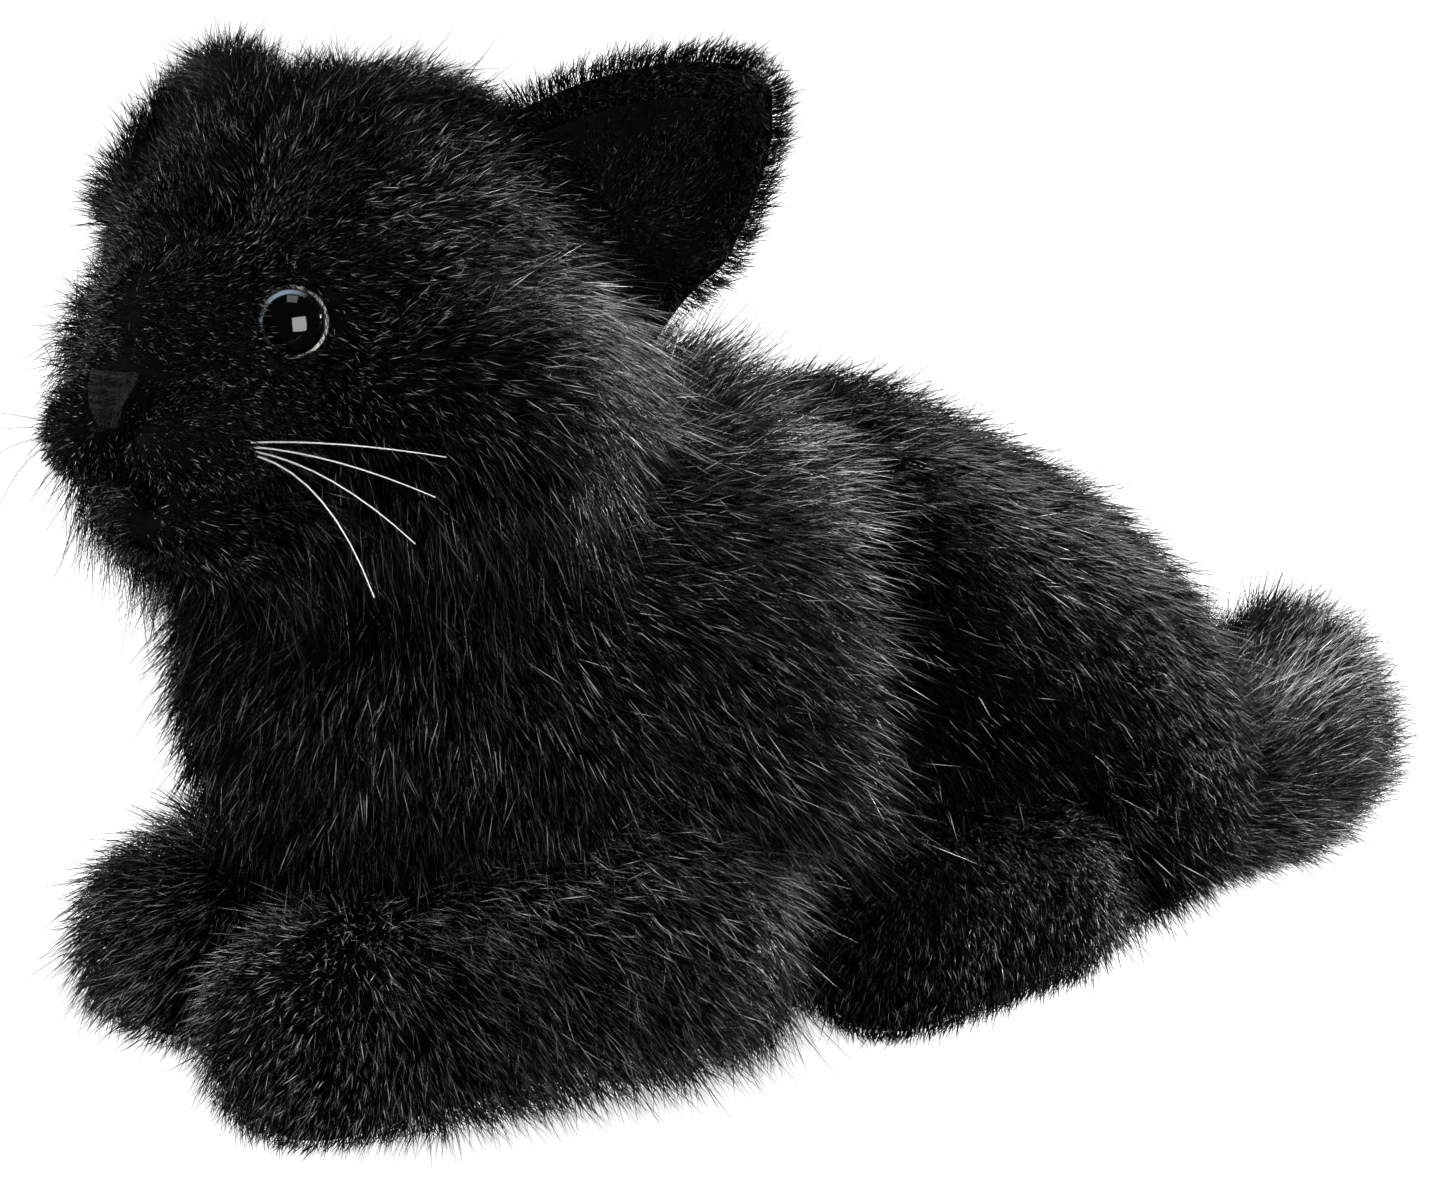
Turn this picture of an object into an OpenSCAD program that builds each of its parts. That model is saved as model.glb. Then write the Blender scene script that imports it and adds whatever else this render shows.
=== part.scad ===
// Plush cat lying on its belly with its head raised and turned to its left.
// The cat faces -Y, its left side is +X and the floor is z = 0.

/* [Body] */
// Length of the body from chest to rump
body_len = 232; // [210:1:250]
// Width of the body across the haunches
body_w = 108; // [100:1:116]
// Height of the back above the floor
body_h = 130; // [122:1:136]

/* [Head] */
// Radius of the round skull that turns in the neck
skull_r = 47; // [45:0.5:49]
// Reach of the nose in front of the middle of the skull
nose_reach = 81; // [78:1:85]
// How far the head looks to the left, in degrees
head_yaw = 29; // [10:1:34]
// How far the nose points up, in degrees
head_raise = 9; // [0:1:12]
// How far the head leans to its right, in degrees
head_roll = -4; // [-8:1:8]
// Diameter of the eye lenses
eye_d = 12.5; // [10:0.5:14]

/* [Ears] */
// Width of an ear at its base
ear_base = 57; // [50:1:60]
// Height of an ear above its base
ear_h = 41; // [38:1:46]
// How far the right ear is bent back, in degrees
right_ear_droop = 42; // [0:1:60]
// How much further forward the right ear sits round the skull, in degrees
right_ear_forward = 22; // [0:1:30]

/* [Legs and tail] */
// Radius of a foreleg at the paw
paw_r = 22.5; // [20:0.5:24]
// Reach of the paws in front of the shoulders
paw_reach = 88; // [82:1:91]
// Length of the tail behind its root
tail_len = 63; // [56:1:68]
// Radius of the tail at its thickest
tail_r = 24.5; // [20:0.5:26]

/* [Whiskers] */
// Diameter of a whisker
whisker_d = 0.4; // [0.3:0.05:0.8]
// Straight-line length of the top whisker
whisker_len = 40; // [30:1:46]

/* [Sewing] */
// Thickness of the fur fabric with its pile pressed flat
skin_t = 3; // [2:0.5:4]
// Gap between the fabric and the filling
fill_gap = 0.4; // [0.3:0.1:0.6]
// Gap between pieces that move against each other
move_gap = 0.8; // [0.5:0.1:1.2]

/* [Hidden] */

// colours
black_fur = [0.09, 0.085, 0.085];
brown_fur = [0.15, 0.13, 0.12];
velour = [0.05, 0.05, 0.06];
wadding = [0.92, 0.92, 0.9];
pellets = [0.8, 0.8, 0.82];

// places: the spine is at x = 0 before stand() centres the whole cat on the origin
stand_shift = [-3.85, -14.4, 0];
chest_y = -101;
head_mid = [2.6, -72, body_h + 30];
eye_seat = [20, -50, 3];
eye_turn = 34;
eye_tilt = 4;
plate_t = 0.8;
boss_h = 0.4;
pupil_d = 0.8 * eye_d;
lens_h = 3.8;
lens_round = (pow(eye_d / 2, 2) + lens_h * lens_h) / (2 * lens_h);
stem_d = 5;
stem_len = 12;
washer_d = 13.6;
washer_t = 1.4;
washer_gap = 0.2;
shoulder = [34, -30, 33];
shoulder_r = 29;
hip = [44, 58, 26];
hip_r = 22;
tail_root = [4, 120, 27];
tail_root_r = 21;
seam_y = 8;

// the neck turns in a bowl in the chest that is round about the middle of the skull
bowl_r = skull_r + 6;
neck_lean = 20;
neck_roll_angle = 32;

// the left ear in the head's own frame: the two ends of its base and its tip
ear_top_end = [25, 10, 40];
ear_low_end = [63, 30, 0];
ear_tip = [79, 37, 39];
ear_seat_r = skull_r + 3.8;
foot_gap = 2.2;
ear_cup = 9;
lining_t = 1.2;

// the nose pad, sunk into the muzzle
nose_w = 10.5;
nose_h = 10.5;
nose_top = -5.5;
nose_proud = 0.9;
nose_sink = 0.5;

// where the whiskers of the left side grow from, in the head's own frame
whisker_root = [22, -65, -18];
whisker_drops = [0, 10, 24, 46];

// the range of each swing that the neighbours leave room for, in degrees
foreleg_swing = [-3, 22];
hindleg_swing = [-8, 16];
tail_swing = [-28, 28];

// cross-sections of the body from chest to rump: shares [along, height, half width, half height]
// of its length, height, width and height
torso_stations = [
    [0, 0.646, 0.01, 0.01], [0.0086, 0.646, 0.157, 0.138], [0.0388, 0.646, 0.296, 0.238],
    [0.0991, 0.654, 0.398, 0.308], [0.1983, 0.631, 0.454, 0.385], [0.3276, 0.569, 0.481, 0.438],
    [0.4784, 0.5, 0.481, 0.515], [0.6293, 0.469, 0.5, 0.492], [0.7802, 0.392, 0.5, 0.423],
    [0.9009, 0.338, 0.407, 0.323], [0.9655, 0.3, 0.259, 0.208], [0.9935, 0.277, 0.111, 0.092],
    [1, 0.277, 0.01, 0.01]];
torso_rings = [for (r = torso_stations)
    [r[0] * body_len, 0, r[1] * body_h, r[2] * body_w, r[3] * body_h]];

// cross-sections of the limbs from the tip or root, each [y, x, z, half width, half height]
foreleg_rings = [
    [-paw_reach, -4, -14, 1, 1], [2 - paw_reach, -4, -14, 10, 10],
    [8 - paw_reach, -4, -13, paw_r - 4, paw_r - 4], [19 - paw_reach, -4, -11.5, paw_r, paw_r],
    [-48, -3, -9.5, paw_r - 1, paw_r], [-25, -1, -5, 24, 25], [0, 0, 0, 25, 26]];
hindleg_rings = [
    [-52, 3, -6, 1, 1], [-50.5, 3, -6, 10, 11], [-45, 3, -4, 16, 19], [-33, 3, -2, 20, 24],
    [-16, 2, 1, 20.5, 25], [0, 0, 0, 19.5, 21]];
tail_rings = [
    [0, 0, 0, 19.5, 20.5], [20, -2, -1, tail_r - 1.5, tail_r + 0.5],
    [tail_len - 27, -6, 0, tail_r, tail_r + 1], [tail_len - 14, -10, 3, tail_r - 2.5, tail_r - 1],
    [tail_len - 5, -12, 5, 15, 16], [tail_len - 1.5, -13, 5.5, 7, 8],
    [tail_len, -13, 5.5, 1, 1]];

ring_sides = 18;
$fn = 18;

// ---- helpers ----

// a closed skin over oval rings that face along Y, drawn in by inset all round
module loft(rings, inset = 0) {
    n = len(rings);
    mid = (rings[0][0] + rings[n - 1][0]) / 2;
    span = rings[n - 1][0] - rings[0][0];
    shrink = (span - 2 * inset) / span;
    points = [for (ring = rings, k = [0 : ring_sides - 1])
        let (a = 360 * k / ring_sides)
        [ring[1] + max(ring[3] - inset, 0.4) * cos(a),
         mid + (ring[0] - mid) * shrink,
         ring[2] + max(ring[4] - inset, 0.4) * sin(a)]];
    walls = [for (i = [0 : n - 2], k = [0 : ring_sides - 1])
        let (a = i * ring_sides + k, b = i * ring_sides + (k + 1) % ring_sides)
        [a, b, b + ring_sides, a + ring_sides]];
    front = [for (k = [ring_sides - 1 : -1 : 0]) k];
    back = [for (k = [0 : ring_sides - 1]) (n - 1) * ring_sides + k];
    polyhedron(points, concat(walls, [front, back]), convexity = 6);
}

module egg(place, radii, inset = 0)
    translate(place)
        scale([for (r = radii) r - inset])
            sphere(1);

// soft pieces are one closed skin each
module as_skin() resize([0, 0, 0]) render() children();

module stand() translate(stand_shift) children();

module above_floor(lift = 0) intersection() {
    children();
    translate([-300, -300, lift]) cube([600, 600, 400]);
}

module side(s) mirror([s > 0 ? 0 : 1, 0, 0]) children();

// the opening at a limb's root that it is turned and stuffed through
module root_opening(root) translate(root) rotate([-90, 0, 0]) cylinder(r = 9, h = 60);

module half(s) intersection() {
    children();
    translate([s > 0 ? 0 : -300, -300, -300]) cube([300, 600, 600]);
}

// ---- forms: each is the outside of a stuffed shape, drawn in by inset ----

module foreleg_form(s, inset = 0) translate([s * shoulder.x, shoulder.y, shoulder.z]) {
    sphere(shoulder_r - inset);
    side(s) intersection() {
        loft(foreleg_rings, inset);
        translate([-60, -200, -60]) cube([120, 199, 120]);
    }
}

module hindleg_form(s, inset = 0) translate([s * hip.x, hip.y, hip.z]) {
    sphere(hip_r - inset);
    side(s) loft(hindleg_rings, inset);
}

module tail_form(inset = 0) translate(tail_root) {
    sphere(tail_root_r - inset);
    loft(tail_rings, inset);
}

// a limb's swing is cut out of the body round its tip and root: each is [radius, height]
foreleg_tip = [-6, -66];
foreleg_tip_size = [paw_r + 1, 2 * paw_r + 3];
foreleg_root_size = [shoulder_r, shoulder.z + shoulder_r];
hindleg_tip = [5, -40];
hindleg_tip_size = [21, 51];
hindleg_root_size = [hip_r + 1, hip.z + 28];
tail_tip = [-5, 42];
tail_tip_size = [tail_r + 0.5, 52];
tail_root_size = [tail_root_r + 1, tail_root.z + 22];

// the space that a limb swings through about an upright line at its root: a wedge from a
// round root to the round tip, as [radius, height] each, grown by grow
module swing_room(root, tip, swing, root_size, tip_size, grow) {
    turns = 3;
    hull() {
        translate([root.x, root.y, -20]) cylinder(r = root_size[0] + grow,
            h = root_size[1] + grow + 20, $fn = 28);
        for (i = [0 : turns])
            translate([root.x, root.y, -20])
                rotate([0, 0, swing[0] + (swing[1] - swing[0]) * i / turns])
                    translate([tip.x, tip.y, 0]) cylinder(r = tip_size[0] + grow,
                        h = tip_size[1] + grow + 20, $fn = 20);
    }
}

module limb_rooms(inset = 0) {
    for (s = [-1, 1]) side(s) {
        swing_room(shoulder, foreleg_tip, foreleg_swing, foreleg_root_size, foreleg_tip_size,
            move_gap + inset);
        swing_room(hip, hindleg_tip, hindleg_swing, hindleg_root_size, hindleg_tip_size,
            move_gap + inset);
    }
    swing_room(tail_root, tail_tip, tail_swing, tail_root_size, tail_tip_size, move_gap + inset);
}

module torso_form(inset = 0) above_floor(inset) difference() {
    translate([0, chest_y, 0]) loft(torso_rings, inset);
    translate(head_mid) sphere(bowl_r + inset, $fn = 30);
    limb_rooms(inset);
}

// ---- head forms, in the head's own frame: skull in the middle, nose towards -Y ----

module head_place() translate(head_mid)
    rotate([-head_raise, head_roll, head_yaw])
        children();

// an eye looks along its own +Z from the middle of its seat
module eye_place(s) side(s)
    translate(eye_seat)
        rotate([90 - eye_tilt, 0, eye_turn])
            children();

// eggs [place, radii] beside the middle: cheek, brow and whisker puff; and on the middle:
// muzzle, bridge of the nose and chin
side_eggs = [
    [[20, -8, -11], [35, 34, 30]],
    [[13, -29, 11], [19, 20, 19]],
    [[9, 18 - nose_reach, -18], [15, 17, 14]]];
middle_eggs = [
    [[0, 34 - nose_reach, -12], [22, 33, 20]],
    [[0, -46, 4], [16, 30, 16]],
    [[0, 30 - nose_reach, -34], [18, 20, 10]]];

module head_form(inset = 0) difference() {
    union() {
        sphere(skull_r - inset, $fn = round($fn * 5 / 3));
        for (s = [-1, 1], e = side_eggs) side(s) egg(e[0], e[1], inset);
        for (e = middle_eggs) egg(e[0], e[1], inset);
    }
    for (s = [-1, 1]) {
        eye_place(s) translate([0, 0, -inset]) cylinder(d = eye_d + 0.6, h = 20);
        difference() {
            ear_frame(s) translate([-ear_base / 2 - 4, -22, -30])
                cube([ear_base + 8, 44, 60]);
            sphere(ear_seat_r - foot_gap - inset, $fn = 30);
        }
    }
}

// the head in front of the cheeks, and the part of it below the mouth
module muzzle_zone() translate([-60, -150, -26]) cube([120, 100, 55]);

module chin_zone() translate([-60, -150, -86]) cube([120, 108, 60]);

module nose_zone(grow = 0) hull() {
    translate([-nose_w / 2 - grow, -nose_reach - 6, nose_top - 2])
        cube([nose_w + 2 * grow, 30, 2 + grow]);
    translate([-nose_w / 5 - grow, -nose_reach - 6, nose_top - nose_h - grow])
        cube([nose_w / 2.5 + 2 * grow, 30, 2]);
}

module head_skin() difference() {
    head_form();
    head_form(skin_t);
    for (s = [-1, 1]) eye_place(s) {
        cylinder(d = stem_d + 0.2, h = 40, center = true);
        translate([0, 0, -skin_t - washer_t - 2 * washer_gap])
            cylinder(d = washer_d + 1, h = washer_t + 1.5 * washer_gap, $fn = 24);
    }
    difference() {
        nose_zone(0.15);
        head_form(nose_sink);
    }
}

// ---- ears ----

function unit(v) = v / norm(v);

ear_mid = (ear_top_end + ear_low_end) / 2;
ear_x = unit(ear_top_end - ear_low_end);
ear_up = ear_tip - ear_mid;
ear_z = unit(ear_up - (ear_up * ear_x) * ear_x);
ear_y = cross(ear_z, ear_x);

// how far along up a point of the base line starts, so that the foot follows the round head
function foot_rise(foot, up) =
    let (p = foot * up)
    sqrt(ear_seat_r * ear_seat_r - foot * foot + p * p) - p;

// a point of the cupped ear: u runs across from -1 to 1 and v up from 0 to 1; grow widens
// the sheet all round, and back moves it away from the side that the lining faces
function ear_point(u, v, droop, grow, back) =
    let (half_w = (ear_base / 2 + grow - 3.5) * pow(1 - pow(v, 1.35), 0.75) + 3.5,
         across = u * half_w,
         depth = -ear_cup * (1 - u * u) * (1 - 0.4 * v) - back,
         up = cos(droop) * ear_z - sin(droop) * ear_y,
         face = cos(droop) * ear_y + sin(droop) * ear_z)
    [across, depth, (ear_h + grow) * v
        + (1 - v) * foot_rise(ear_mid + across * ear_x + depth * face, up)];

module ear_sheet(droop, grow, front, back) {
    across = 10;
    up = 8;
    row = across + 1;
    layer = row * (up + 1);
    points = [for (b = [front, back], j = [0 : up], i = [0 : across])
        ear_point(2 * i / across - 1, j / up, droop, grow, b)];
    faces = [for (j = [0 : up - 1], i = [0 : across - 1])
        let (a = j * row + i)
        each [[a, a + 1, a + row + 1, a + row],
            [layer + a, layer + a + row, layer + a + row + 1, layer + a + 1]]];
    rim = concat([for (i = [0 : across]) i],
        [for (j = [1 : up]) j * row + across],
        [for (i = [across - 1 : -1 : 0]) up * row + i],
        [for (j = [up - 1 : -1 : 1]) j * row]);
    edge = [for (k = [0 : len(rim) - 1])
        let (a = rim[k], b = rim[(k + 1) % len(rim)])
        [a, layer + a, layer + b, b]];
    polyhedron(points, concat(faces, edge), convexity = 4);
}

// the right ear is the mirror of the left one, moved forward and bent back about its base
module ear_frame(s) rotate([0, 0, s > 0 ? 0 : right_ear_forward]) side(s)
    multmatrix([for (i = [0 : 2]) [ear_x[i], ear_y[i], ear_z[i], ear_mid[i]]])
        children();

function ear_droop(s) = s > 0 ? 0 : right_ear_droop;

module ear_place(s) head_place() ear_frame(s) rotate([ear_droop(s), 0, 0]) children();

// ---- body pieces ----

module belly_zone() translate([-24, -62, -10]) cube([48, 160, 10 + skin_t]);

module pellet_form(grow = 0) egg([0, 28, 22], [26, 52, 15], -grow);

module torso_skin(s, y) stand() as_skin() intersection() {
    half(s) difference() {
        torso_form();
        torso_form(skin_t);
        belly_zone();
    }
    translate([-200, y, -10]) cube([400, 300, 300]);
}

module chest_panel(s) color(black_fur) torso_skin(s, seam_y - 300);

module back_panel(s) color(brown_fur) torso_skin(s, seam_y);

module chest_left_panel() chest_panel(1);

module chest_right_panel() chest_panel(-1);

module back_left_panel() back_panel(1);

module back_right_panel() back_panel(-1);

module belly_panel() color(black_fur) stand() as_skin() intersection() {
    torso_form();
    belly_zone();
}

module body_filling() color(wadding) stand() as_skin() difference() {
    torso_form(skin_t + fill_gap);
    pellet_form(fill_gap);
}

module belly_pellet_bag() color(pellets) stand() as_skin() intersection() {
    pellet_form();
    torso_form(skin_t + 2 * fill_gap);
}

module neck_roll() color(black_fur) stand() translate(head_mid) rotate([180 + neck_lean, 0, 0])
    rotate_extrude($fn = 48) intersection() {
        difference() {
            circle(bowl_r - move_gap, $fn = 96);
            circle(skull_r + move_gap, $fn = 96);
        }
        polygon([[0, 0], [100 * tan(neck_roll_angle), 100], [0, 100]]);
    }

// ---- head pieces ----

module head_panel(s) color(black_fur) stand() head_place() as_skin() half(s) difference() {
    head_skin();
    muzzle_zone();
    chin_zone();
}

module head_left_panel() head_panel(1);

module head_right_panel() head_panel(-1);

module muzzle_panel() color(brown_fur) stand() head_place() as_skin() intersection() {
    head_skin();
    muzzle_zone();
}

module chin_panel() color(brown_fur) stand() head_place() as_skin() intersection() {
    head_skin();
    chin_zone();
}

module head_filling() color(wadding) stand() head_place() as_skin() difference() {
    head_form(skin_t + 2 * fill_gap, $fn = 12);
    for (s = [-1, 1]) eye_place(s) translate([0, 0, -stem_len - 1.5])
        cylinder(d = washer_d + 1, h = stem_len);
}

module nose_pad() color("dimgray") stand() head_place() as_skin() intersection() {
    nose_zone();
    difference() {
        head_form(-nose_proud);
        head_form(nose_sink);
    }
}

// ---- eyes: each is a stem with a face plate, an iris ring and a clear lens over them ----

module eye_lens(s) color([0.1, 0.1, 0.12]) stand() head_place() eye_place(s) intersection() {
    translate([0, 0, plate_t + boss_h + lens_h - lens_round]) sphere(lens_round, $fn = 64);
    translate([0, 0, plate_t + boss_h + 0.05]) cylinder(d = eye_d, h = lens_h, $fn = 64);
}

module eye_iris(s) color("lightsteelblue") stand() head_place() eye_place(s)
    translate([0, 0, plate_t]) difference() {
        cylinder(d = eye_d - 0.3, h = boss_h, $fn = 64);
        translate([0, 0, -1]) cylinder(d = pupil_d + 0.05, h = boss_h + 2, $fn = 64);
    }

module eye_stem(s) color("black") stand() head_place() eye_place(s) {
    cylinder(d = eye_d, h = plate_t, $fn = 64);
    cylinder(d = pupil_d, h = plate_t + boss_h, $fn = 64);
    translate([0, 0, -stem_len]) cylinder(d = stem_d, h = stem_len + 0.1, $fn = 48);
}

module eye_washer(s) color("whitesmoke") stand() head_place() eye_place(s)
    translate([0, 0, -skin_t - washer_gap - washer_t]) difference() {
        cylinder(d = washer_d, h = washer_t, $fn = 48);
        translate([0, 0, -1]) cylinder(d = stem_d + 0.05, h = washer_t + 2, $fn = 48);
    }

module eye_left_lens() eye_lens(1);

module eye_right_lens() eye_lens(-1);

module eye_left_iris() eye_iris(1);

module eye_right_iris() eye_iris(-1);

module eye_left_stem() eye_stem(1);

module eye_right_stem() eye_stem(-1);

module eye_left_washer() eye_washer(1);

module eye_right_washer() eye_washer(-1);

// ---- whiskers ----

function curve(a, b, c, t) = a * (1 - t) * (1 - t) + 2 * b * t * (1 - t) + c * t * t;

module whisker(root, middle, tip) {
    rings = 8;
    sides = 6;
    points = [for (i = [0 : rings], k = [0 : sides - 1])
        let (t = i / rings,
             run = unit(curve(root, middle, tip, min(t + 0.02, 1))
                 - curve(root, middle, tip, max(t - 0.02, 0))),
             across = unit(cross(run, [0, 0, 1])),
             over = cross(across, run),
             r = whisker_d / 2 * (1 - 0.5 * t))
        curve(root, middle, tip, t) + r * (cos(60 * k) * across + sin(60 * k) * over)];
    walls = [for (i = [0 : rings - 1], k = [0 : sides - 1])
        let (a = i * sides + k, b = i * sides + (k + 1) % sides)
        [a, b, b + sides, a + sides]];
    polyhedron(points, concat(walls, [[for (k = [sides - 1 : -1 : 0]) k],
        [for (k = [0 : sides - 1]) rings * sides + k]]));
}

module whiskers(s) color("white") stand() head_place() side(s)
    for (i = [0 : len(whisker_drops) - 1])
        let (root = whisker_root + [0, 0.7 * i, -0.9 * i],
             long = whisker_len - 2 * i,
             drop = whisker_drops[i],
             reach = long * [cos(drop), 0.12, -sin(drop)])
        whisker(root, root + 0.45 * long * [1, 0.1, 0.1 - 0.1 * i], root + reach);

module whiskers_left() whiskers(1);

module whiskers_right() whiskers(-1);

// ---- ear pieces ----

module ear_back(s) color(black_fur) stand() ear_place(s)
    ear_sheet(ear_droop(s), 2, 0, skin_t);

module ear_lining(s) color(velour) stand() ear_place(s)
    ear_sheet(ear_droop(s), -2, -lining_t - 0.2, -0.2);

module ear_left_back() ear_back(1);

module ear_right_back() ear_back(-1);

module ear_left_lining() ear_lining(1);

module ear_right_lining() ear_lining(-1);

// ---- legs and tail: a fur sleeve over a filling ----

module foreleg_sleeve(s) color(black_fur) stand() as_skin() above_floor() difference() {
    foreleg_form(s);
    above_floor(skin_t) foreleg_form(s, skin_t);
    root_opening([s * shoulder.x, shoulder.y, shoulder.z]);
}

module foreleg_filling(s) color(wadding) stand() as_skin() above_floor(skin_t + fill_gap)
    foreleg_form(s, skin_t + fill_gap);

module hindleg_sleeve(s) color(black_fur) stand() as_skin() above_floor() difference() {
    hindleg_form(s);
    above_floor(skin_t) hindleg_form(s, skin_t);
    root_opening([s * hip.x, hip.y, hip.z]);
}

module hindleg_filling(s) color(wadding) stand() as_skin() above_floor(skin_t + fill_gap)
    hindleg_form(s, skin_t + fill_gap);

module foreleg_left_sleeve() foreleg_sleeve(1);

module foreleg_right_sleeve() foreleg_sleeve(-1);

module foreleg_left_filling() foreleg_filling(1);

module foreleg_right_filling() foreleg_filling(-1);

module hindleg_left_sleeve() hindleg_sleeve(1);

module hindleg_right_sleeve() hindleg_sleeve(-1);

module hindleg_left_filling() hindleg_filling(1);

module hindleg_right_filling() hindleg_filling(-1);

module tail_sleeve() color(black_fur) stand() as_skin() above_floor() difference() {
    tail_form();
    above_floor(skin_t) tail_form(skin_t);
    translate(tail_root) rotate([90, 0, 0]) cylinder(r = 9, h = 60);
}

module tail_filling() color(wadding) stand() as_skin() above_floor(skin_t + fill_gap)
    tail_form(skin_t + fill_gap);

chest_left_panel();
chest_right_panel();
back_left_panel();
back_right_panel();
belly_panel();
body_filling();
belly_pellet_bag();
neck_roll();
head_left_panel();
head_right_panel();
muzzle_panel();
chin_panel();
head_filling();
nose_pad();
eye_left_lens();
eye_right_lens();
eye_left_iris();
eye_right_iris();
eye_left_stem();
eye_right_stem();
eye_left_washer();
eye_right_washer();
whiskers_left();
whiskers_right();
ear_left_back();
ear_right_back();
ear_left_lining();
ear_right_lining();
foreleg_left_sleeve();
foreleg_right_sleeve();
foreleg_left_filling();
foreleg_right_filling();
hindleg_left_sleeve();
hindleg_right_sleeve();
hindleg_left_filling();
hindleg_right_filling();
tail_sleeve();
tail_filling();
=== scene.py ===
"""A lying plush cat in long black pile: skins, fur, eyes, nose, floor, light and camera.

Every length is in metres in the row frame, except where a name or a comment says mm.
"""

import logging
import math
from dataclasses import dataclass, field
from enum import Enum
from typing import Callable, Sequence

import bpy
import numpy as np
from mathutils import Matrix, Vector


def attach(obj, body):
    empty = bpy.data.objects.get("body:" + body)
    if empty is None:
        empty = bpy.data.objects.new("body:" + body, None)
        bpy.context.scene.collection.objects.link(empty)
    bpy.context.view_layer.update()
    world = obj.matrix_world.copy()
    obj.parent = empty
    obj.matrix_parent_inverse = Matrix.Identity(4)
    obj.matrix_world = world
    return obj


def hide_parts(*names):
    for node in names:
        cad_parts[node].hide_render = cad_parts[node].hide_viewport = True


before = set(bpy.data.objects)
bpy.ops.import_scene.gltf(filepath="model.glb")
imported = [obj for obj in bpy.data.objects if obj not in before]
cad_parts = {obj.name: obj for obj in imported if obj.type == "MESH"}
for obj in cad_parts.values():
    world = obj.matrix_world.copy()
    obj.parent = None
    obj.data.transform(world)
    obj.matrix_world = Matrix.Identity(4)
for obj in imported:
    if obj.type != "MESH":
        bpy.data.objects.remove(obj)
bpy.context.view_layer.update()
LOG = logging.getLogger("plush_cat")
MM = 0.001
Array = np.ndarray

# the CAD's own places, in mm in the row frame
STAND_SHIFT = np.array([-3.85, -14.4, 0.0])
HEAD_MID = np.array([2.6, -72.0, 160.0]) + STAND_SHIFT
HEAD_TURN_DEG = (-9.0, -4.0, 29.0)
EYE_SEAT = np.array([20.0, -50.0, 3.0])
EYE_LOOK = np.array([0.558, -0.827, 0.070])
TAIL_ROOT = np.array([4.0, 120.0, 27.0]) + STAND_SHIFT
SEAM_Y = 8.0 + STAND_SHIFT[1]
SPINE_X = STAND_SHIFT[0]
FLOOR_CLEAR = 0.25

# the left ear in the head's own frame, in mm: the ends of its base and its tip
EAR_TOP_END = np.array([25.0, 10.0, 40.0])
EAR_LOW_END = np.array([63.0, 30.0, 0.0])
EAR_TIP = np.array([79.0, 37.0, 39.0])
EAR_HEIGHT = 41.0
EAR_HALF_BASE = 28.5
RIGHT_EAR_DROOP_DEG = 42.0
RIGHT_EAR_FORWARD_DEG = 22.0

# skins
MERGE_MM = 0.02
FLOOR_LIFT = 1.2
FINE_VOXEL_MM = 1.5
PUFF_PRESSURE = 4.0
PUFF_FRAMES = 20

# pile: the share of a filament below its bend, and how much the filaments differ
BEND = 0.42
STRAY_SHARE = 0.05
SWIRL_DEG = (19.0, 16.0, 12.0)
SWIRL_MM = (24.0, 7.0)
LEAN_DEG = (13.0, 7.0)
LEAN_MM = 14.0
LENGTH_SPREAD = 0.27
SHORTEST_AT_FLOOR = 0.35
ROOT_DEPTH = 0.5
CELL_PRIMES = (73856093, 19349663, 83492791)
SPINDLE = ((0, 2, 1), (0, 3, 2), (0, 1, 3), (1, 2, 4), (2, 3, 4), (3, 1, 4))


class Side(Enum):
    """A side of the cat; the value is the sign of its X."""

    LEFT = 1.0
    RIGHT = -1.0

    @property
    def word(self) -> str:
        """The side as the nodes spell it."""
        return self.name.lower()


# the last digit of each side's seeds
SEEDS = {Side.LEFT: 1, Side.RIGHT: 2}


# ---- small tools ----


def linear(code: str) -> tuple[float, float, float, float]:
    """Turns an sRGB hex colour into linear RGBA.

    Args:
        code: six hex digits, with or without a leading hash.

    Returns:
        The colour as four linear numbers, with alpha 1.
    """
    digits = code.lstrip("#")
    parts = [int(digits[i : i + 2], 16) / 255 for i in (0, 2, 4)]
    made = [c / 12.92 if c <= 0.04045 else ((c + 0.055) / 1.055) ** 2.4 for c in parts]
    return (made[0], made[1], made[2], 1.0)


def add_node(
    tree: bpy.types.NodeTree, kind: str, links: dict | None = None, **settings: object
) -> bpy.types.Node:
    """Adds one shader node with its settings, values and incoming links.

    Args:
        tree: the node tree to add to.
        kind: the node's type name, without "ShaderNode".
        links: input name or number to a plain value or to another node's output socket.
        settings: the node's own properties.

    Returns:
        The new node.
    """
    made = tree.nodes.new("ShaderNode" + kind)
    for name, value in settings.items():
        setattr(made, name, value)
    for name, value in (links or {}).items():
        if isinstance(value, bpy.types.NodeSocket):
            tree.links.new(value, made.inputs[name])
        else:
            made.inputs[name].default_value = value
    return made


def ramp(x: Array, low: float, high: float) -> Array:
    """A smooth step from 0 at low to 1 at high; low may be the larger."""
    t = np.clip((x - low) / (high - low), 0.0, 1.0)
    return t * t * (3 - 2 * t)


def bump(x: Array, middle: float, width: float) -> Array:
    """A smooth bump of height 1 at middle."""
    return np.exp(-(((x - middle) / width) ** 2))


def unit(v: Array) -> Array:
    """Rows of v at length 1."""
    return v / np.maximum(np.linalg.norm(v, axis=-1, keepdims=True), 1e-12)


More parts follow.
